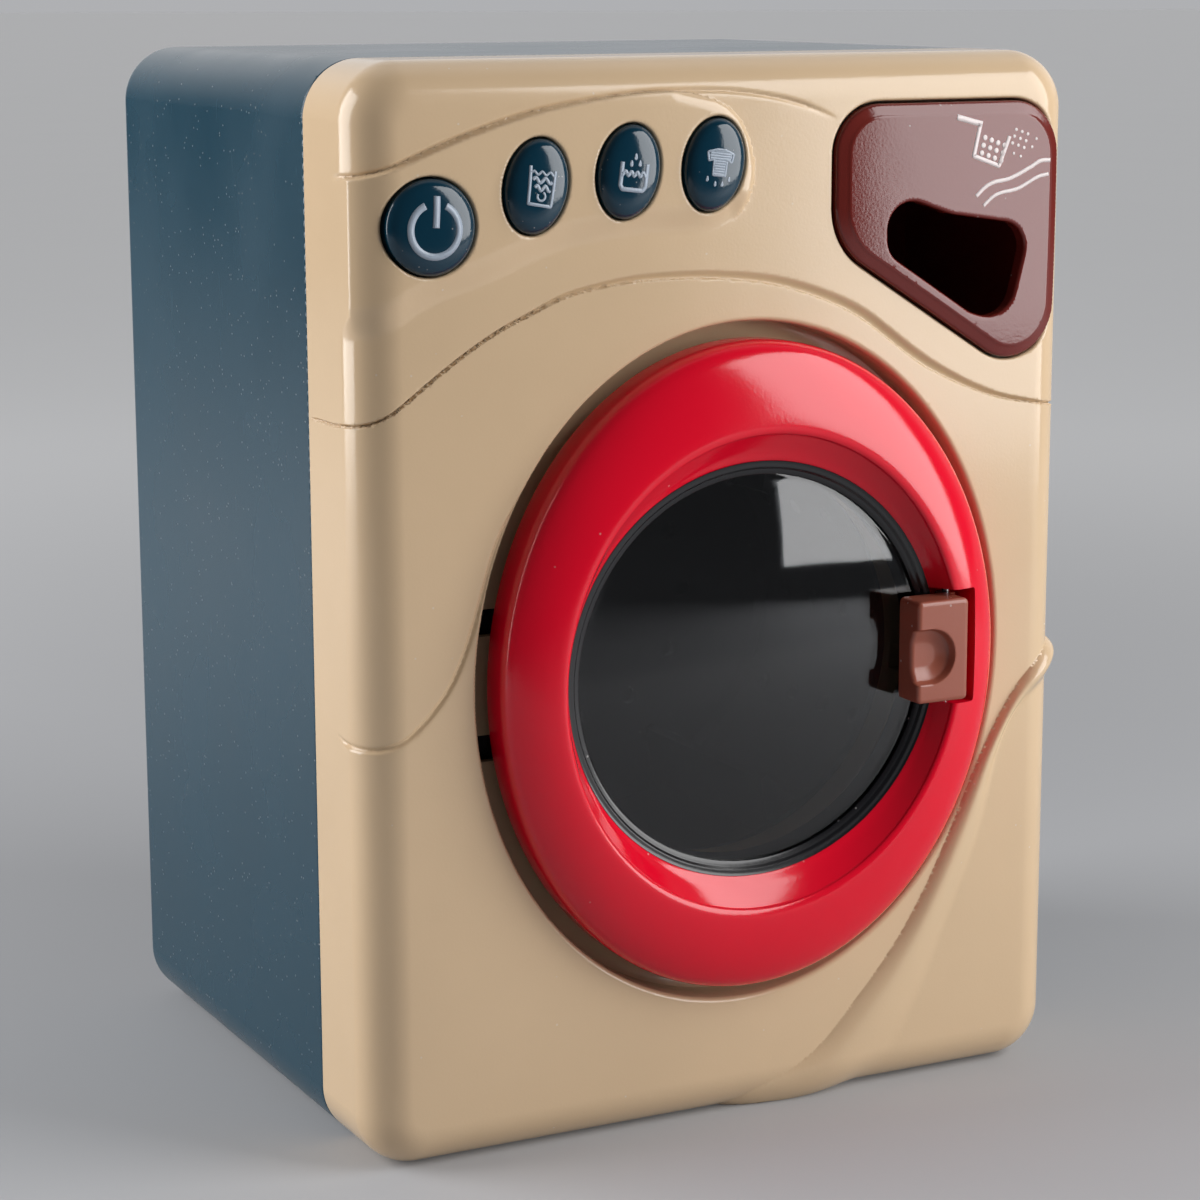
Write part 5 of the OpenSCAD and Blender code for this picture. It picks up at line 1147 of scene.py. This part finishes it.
def makePrint(name, at, lean, strokes, spots, surface, body, replaced, material):
    c, s = math.cos(math.radians(lean)), math.sin(math.radians(lean))
    vertices, faces = [], []

    def put(line):
        q = np.asarray(line, float)
        return np.column_stack([at[0] + q[:, 0] * c - q[:, 1] * s, at[1] + q[:, 0] * s + q[:, 1] * c])

    for v, f in [strokeMesh(put(line), w, surface, closed) for line, w, closed in strokes] + [
            spotMesh(put(loop), surface) for loop in spots]:
        faces += [[int(a) + len(vertices) for a in g] for g in outwards(v, f)]
        vertices += np.asarray(v).tolist()
    makePiece(name, vertices, faces, body, material, replaced)


# Surface of a cap at a place: its height share taken in the oval's own frame
def capSurface(at, rx, rz, lean):
    def surface(q):
        c, s = math.cos(math.radians(lean)), math.sin(math.radians(lean))
        d = q - np.array(at)
        u, v = d[:, 0] * c + d[:, 1] * s, -d[:, 0] * s + d[:, 1] * c
        return frontY + capDepth(np.sqrt((u / rx) ** 2 + (v / rz) ** 2))
    return surface


def arcLine(x, z, r, start, end, n=40):
    t = np.radians(np.linspace(start, end, n))
    return np.column_stack([x + r * np.cos(t), z + r * np.sin(t)])


# Drop: a small teardrop with its tip upwards
def dropLoop(x, z, size):
    t = np.linspace(0, 2 * np.pi, 25)[:-1]
    r = size * (1 + 0.9 * np.maximum(np.sin(t), 0) ** 6)
    return np.column_stack([x + 0.8 * r * np.cos(t), z + r * np.sin(t)])


def waveLine(x0, x1, z, high, length):
    x = np.linspace(x0, x1, 50)
    return np.column_stack([x, z + high * np.sin((x - x0) * 2 * np.pi / length)])


powerSigns = ([(arcLine(0, -0.4, 5.5, 113, 423), 1.5, False), ([(0.1, 0.1), (0.55, 6.6)], 1.5, False)], [])
washTub = [(-2.9, 4.3), (-2.7, -3.6), (2.6, -3.9), (2.9, 3.6)]
washSigns = ([(washTub, 0.7, False), (waveLine(-2.6, 2.7, 2.9, 0.35, 1.9), 0.5, False),
              (waveLine(-2.2, 2.3, 1.4, 0.5, 2.3), 0.75, False),
              (waveLine(-1.6, 2.0, -0.2, 0.5, 1.9), 0.75, False), (arcLine(0.1, -1.9, 0.9, 150, 430), 0.5, False)], [])
rinseTub = [(-3.0, 2.0), (-3.0, -2.9), (-2.4, -3.7), (2.4, -3.7), (3.0, -2.9), (3.0, 2.0)]
rinseWater = [(-3.0, -0.9), (-2.1, 0.2), (-1.4, -0.8), (-0.7, 0.2), (0, -0.8), (0.7, 0.2), (1.4, -0.8),
              (2.1, 0.2), (3.0, -0.9)]
rinseSigns = ([(rinseTub, 0.95, False), (rinseWater, 0.8, False)],
              [dropLoop(x, z, 0.5) for x, z in ((-0.9, 1.6), (0.0, 3.1), (1.1, 1.8))])
shirt = [(-1.0, 3.3), (-3.2, 2.6), (-2.8, 0.8), (-1.6, 1.2), (-1.5, -2.2), (1.5, -2.2), (1.6, 1.2), (2.8, 0.8),
         (3.2, 2.6), (1.0, 3.3)]
# height and half length of the rows that fill the shirt
shirtFill = [(3.0, 1.5), (2.45, 2.7), (1.9, 2.75), (1.35, 2.6), (0.8, 1.45), (0.25, 1.4), (-0.3, 1.4), (-0.85, 1.4),
             (-1.4, 1.4), (-1.95, 1.4)]
spinSigns = ([(shirt, 0.5, True)] + [([(-a, z), (a, z)], 0.62, False) for z, a in shirtFill],
             [dropLoop(x, z, 0.42) for x, z in ((-2.7, -3.3), (-0.7, -4.2), (1.0, -4.1), (2.6, -3.0))])
for (key, at, rx, rz, lean), signs in zip(keys, (powerSigns, washSigns, rinseSigns, spinSigns)):
    makePrint(key + "Sign", at, lean * 0.6, signs[0], signs[1], capSurface(at, rx, rz, lean), key + "_key",
              (key + "_button",), materials["printed_mark"])


def drawerSurface(q):
    return frontY - drawerRise(q)


scoopSigns = [([(55.3, 225.7), (62.0, 224.0)], 1.3, False),
              ([(61.5, 224.2), (59.8, 217.0), (66.6, 214.6), (69.4, 221.2)], 1.0, False)]
# powder: leaning rows of dots, large in the scoop and small above it
scoopDots = [ovalLoop((61.9 + 1.75 * i + 0.42 * j, 217.6 + 1.7 * j - 0.62 * i), 0.62, 0.62, 12)
             for i in range(4) for j in range(3)]
scoopDots += [ovalLoop((70.2 + 1.6 * i + 0.5 * j, 219.6 + 1.5 * j - 0.55 * i), 0.4, 0.4, 12)
              for i in range(3) for j in range(3)]
scoopDots += [ovalLoop(p, 0.34, 0.34, 12) for p in ((70.6, 217.3), (72.5, 216.6), (75.6, 218.6), (76.8, 220.4))]
upperWave = [(60.6, 208), (63, 210), (65.4, 211), (69.9, 211.8), (75.3, 214.1), (78, 215.4), (80.8, 215.5)]
lowerWave = [(62.6, 205.8), (65, 207.7), (67.4, 208.6), (71.9, 209.4), (77.0, 211.7), (80.3, 212.4)]
waves = [(smoothCurve(upperWave, 8), 0.9, False), (smoothCurve(lowerWave, 8), 0.8, False)]
makePrint("drawerSign", (0, 0), 0.0, scoopSigns + waves, scoopDots, drawerSurface, "drawer", ("detergent_drawer",),
          materials["white_print"])
print("marks made")


# ---- the nodes that keep the CAD's own shape take their slot's finish
replacedNodes = {node for piece in pieces.values() for node in piece.get("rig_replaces", [])}
for part in frame["record"]["subparts"]:
    node = frame["nodes"][part["node"]]
    if part["node"] not in replacedNodes:
        node.data.materials.clear()
        node.data.materials.append(materials[part["material_slot"]])
print("nodes dressed")


# ---- studio: floor, softboxes and surroundings
studio = {
    "floorReach": 60.0, "floorColour": screenColour(172, 173, 176), "shownNear": 0.04, "shownFar": 0.31,
    "tableLeft": -0.8, "tableFront": -0.52,
    "keyTurn": 45.0, "keyRise": 20.0, "keyFar": 0.74, "keySize": (0.46, 0.72), "keyPower": 5.9,
    "sideTurn": -114.0, "sideRise": 18.0, "sideFar": 1.0, "sideSize": (0.7, 0.9), "sidePower": 12.0,
    "pale": (0.43, 0.435, 0.45, 1.0), "paleHigh": (0.9, 0.905, 0.92, 1.0), "dim": (0.07, 0.07, 0.074, 1.0),
    "ambient": (0.13, 0.13, 0.134, 1.0),
}


# 1 for rays that show the background: from the camera, through glass, and reflected by the object
def shownRays(tree, reflected=1.0):
    path = addNode(tree, "ShaderNodeLightPath").outputs
    seen = addMath(tree, "MAXIMUM", path["Is Camera Ray"], path["Is Transmission Ray"])
    return addMath(tree, "MAXIMUM", seen, addMath(tree, "MULTIPLY", path["Is Glossy Ray"], reflected))


# Floor: rings of growing radius around the machine
def makeFloor():
    radii = np.concatenate([[0.02], np.linspace(0.1, 1.0, 10), np.geomspace(1.5, studio["floorReach"], 14)])
    rings = [np.column_stack([ovalLoop((0, 0), r * 1000, r * 1000, 96), np.zeros(96)]) for r in radii]
    vertices, faces = loftRings(rings, caps=(True, False))
    mesh = bpy.data.meshes.new("floor")
    mesh.from_pydata((vertices * 0.001).tolist(), [], faces)
    floor = bpy.data.objects.new("floor", mesh)
    bpy.context.collection.objects.link(floor)
    mesh.update()
    if mesh.polygons[0].normal.z < 0:
        mesh.flip_normals()
    material = bpy.data.materials.new("floorPaper")
    material.use_nodes = True
    tree = material.node_tree
    shader = tree.nodes["Principled BSDF"]
    place = addNode(tree, "ShaderNodeTexCoord").outputs["Object"]
    split = addNode(tree, "ShaderNodeSeparateXYZ", {0: place})
    grain = addNode(tree, "ShaderNodeTexNoise", {"Vector": place, "Scale": 6.0, "Detail": 3.0})
    tone = addNode(tree, "ShaderNodeMix", {0: grain.outputs[0]}, data_type="RGBA")
    colour = studio["floorColour"]
    tone.inputs[6].default_value = tuple(c * 0.98 for c in colour[:3]) + (1.0,)
    tone.inputs[7].default_value = tuple(c * 1.02 for c in colour[:3]) + (1.0,)
    tree.links.new(tone.outputs[2], shader.inputs["Base Color"])
    shader.inputs["Roughness"].default_value = 0.7
    shader.inputs["Specular IOR Level"].default_value = 0.2
    # the paper's own paleness grows with distance; reflections also end at the table's left and front edges
    far = addNode(tree, "ShaderNodeVectorMath", {0: place}, operation="LENGTH").outputs["Value"]
    share = addNode(tree, "ShaderNodeMapRange", {
        "Value": far, "From Min": 0.15, "From Max": 1.1, "To Min": studio["shownNear"], "To Max": studio["shownFar"],
    }, interpolation_type="SMOOTHSTEP")
    left = addNode(tree, "ShaderNodeMapRange", {"Value": split.outputs["X"], "From Min": studio["tableLeft"] - 0.05,
                                                "From Max": studio["tableLeft"] + 0.05})
    front = addNode(tree, "ShaderNodeMapRange", {"Value": split.outputs["Y"], "From Min": studio["tableFront"] - 0.03,
                                                 "From Max": studio["tableFront"] + 0.01})
    table = addMath(tree, "MULTIPLY", left.outputs[0], front.outputs[0])
    shown = addMath(tree, "MULTIPLY", share.outputs[0], shownRays(tree, table))
    tree.links.new(shown, shader.inputs["Emission Strength"])
    shader.inputs["Emission Color"].default_value = (0.985, 0.99, 1.0, 1.0)
    mesh.materials.append(material)


# Softbox: an area light aimed at the machine's middle from a turn (right of the front) and a rise, in degrees
def softbox(name, turn, rise, far, size, power):
    t, e = math.radians(turn), math.radians(rise)
    middle = Vector((0, 0, 0.12))
    place = middle + far * Vector((math.sin(t) * math.cos(e), -math.cos(t) * math.cos(e), math.sin(e)))
    data = bpy.data.lights.new(name, "AREA")
    data.shape, data.size, data.size_y, data.energy = "RECTANGLE", size[0], size[1], power
    light = bpy.data.objects.new(name, data)
    light.matrix_world = Matrix.Translation(place) @ (middle - place).to_track_quat("-Z", "Y").to_matrix().to_4x4()
    bpy.context.collection.objects.link(light)


# Surroundings by direction: pale behind and at the right, paler higher up, dim in front and at the left; the light
# that they throw is plain and dim all round
def makeSurroundings():
    world = bpy.data.worlds.new("studio")
    bpy.context.scene.world = world
    world.use_nodes = True
    tree = world.node_tree
    ground = tree.nodes["Background"]
    direction = addNode(tree, "ShaderNodeTexCoord").outputs["Generated"]
    split = addNode(tree, "ShaderNodeSeparateXYZ", {0: direction})
    back = addNode(tree, "ShaderNodeMapRange", {"Value": split.outputs["Y"], "From Min": -0.3, "From Max": 0.3},
                   interpolation_type="SMOOTHSTEP").outputs[0]
    side = addNode(tree, "ShaderNodeMapRange", {
        "Value": split.outputs["X"], "From Min": -0.46, "From Max": 0.0, "To Min": 0.15,
    }, interpolation_type="SMOOTHSTEP").outputs[0]
    back = addMath(tree, "MULTIPLY", back, side)
    high = addNode(tree, "ShaderNodeMapRange", {"Value": split.outputs["Z"], "From Min": 0.04, "From Max": 0.2},
                   interpolation_type="SMOOTHSTEP").outputs[0]
    paper = addNode(tree, "ShaderNodeMix", {0: high}, data_type="RGBA")
    paper.inputs[6].default_value, paper.inputs[7].default_value = studio["pale"], studio["paleHigh"]
    shown = addNode(tree, "ShaderNodeMix", {0: back}, data_type="RGBA")
    shown.inputs[6].default_value = studio["dim"]
    tree.links.new(paper.outputs[2], shown.inputs[7])
    colour = addNode(tree, "ShaderNodeMix", {0: shownRays(tree)}, data_type="RGBA")
    colour.inputs[6].default_value = studio["ambient"]
    tree.links.new(shown.outputs[2], colour.inputs[7])
    tree.links.new(colour.outputs[2], ground.inputs["Color"])


makeFloor()
softbox("keyBox", studio["keyTurn"], studio["keyRise"], studio["keyFar"], studio["keySize"], studio["keyPower"])
softbox("sideBox", studio["sideTurn"], studio["sideRise"], studio["sideFar"], studio["sideSize"], studio["sidePower"])
makeSurroundings()
placeCamera(cameraView)
scene = bpy.context.scene
scene.view_settings.view_transform = "Standard"
print("studio made")
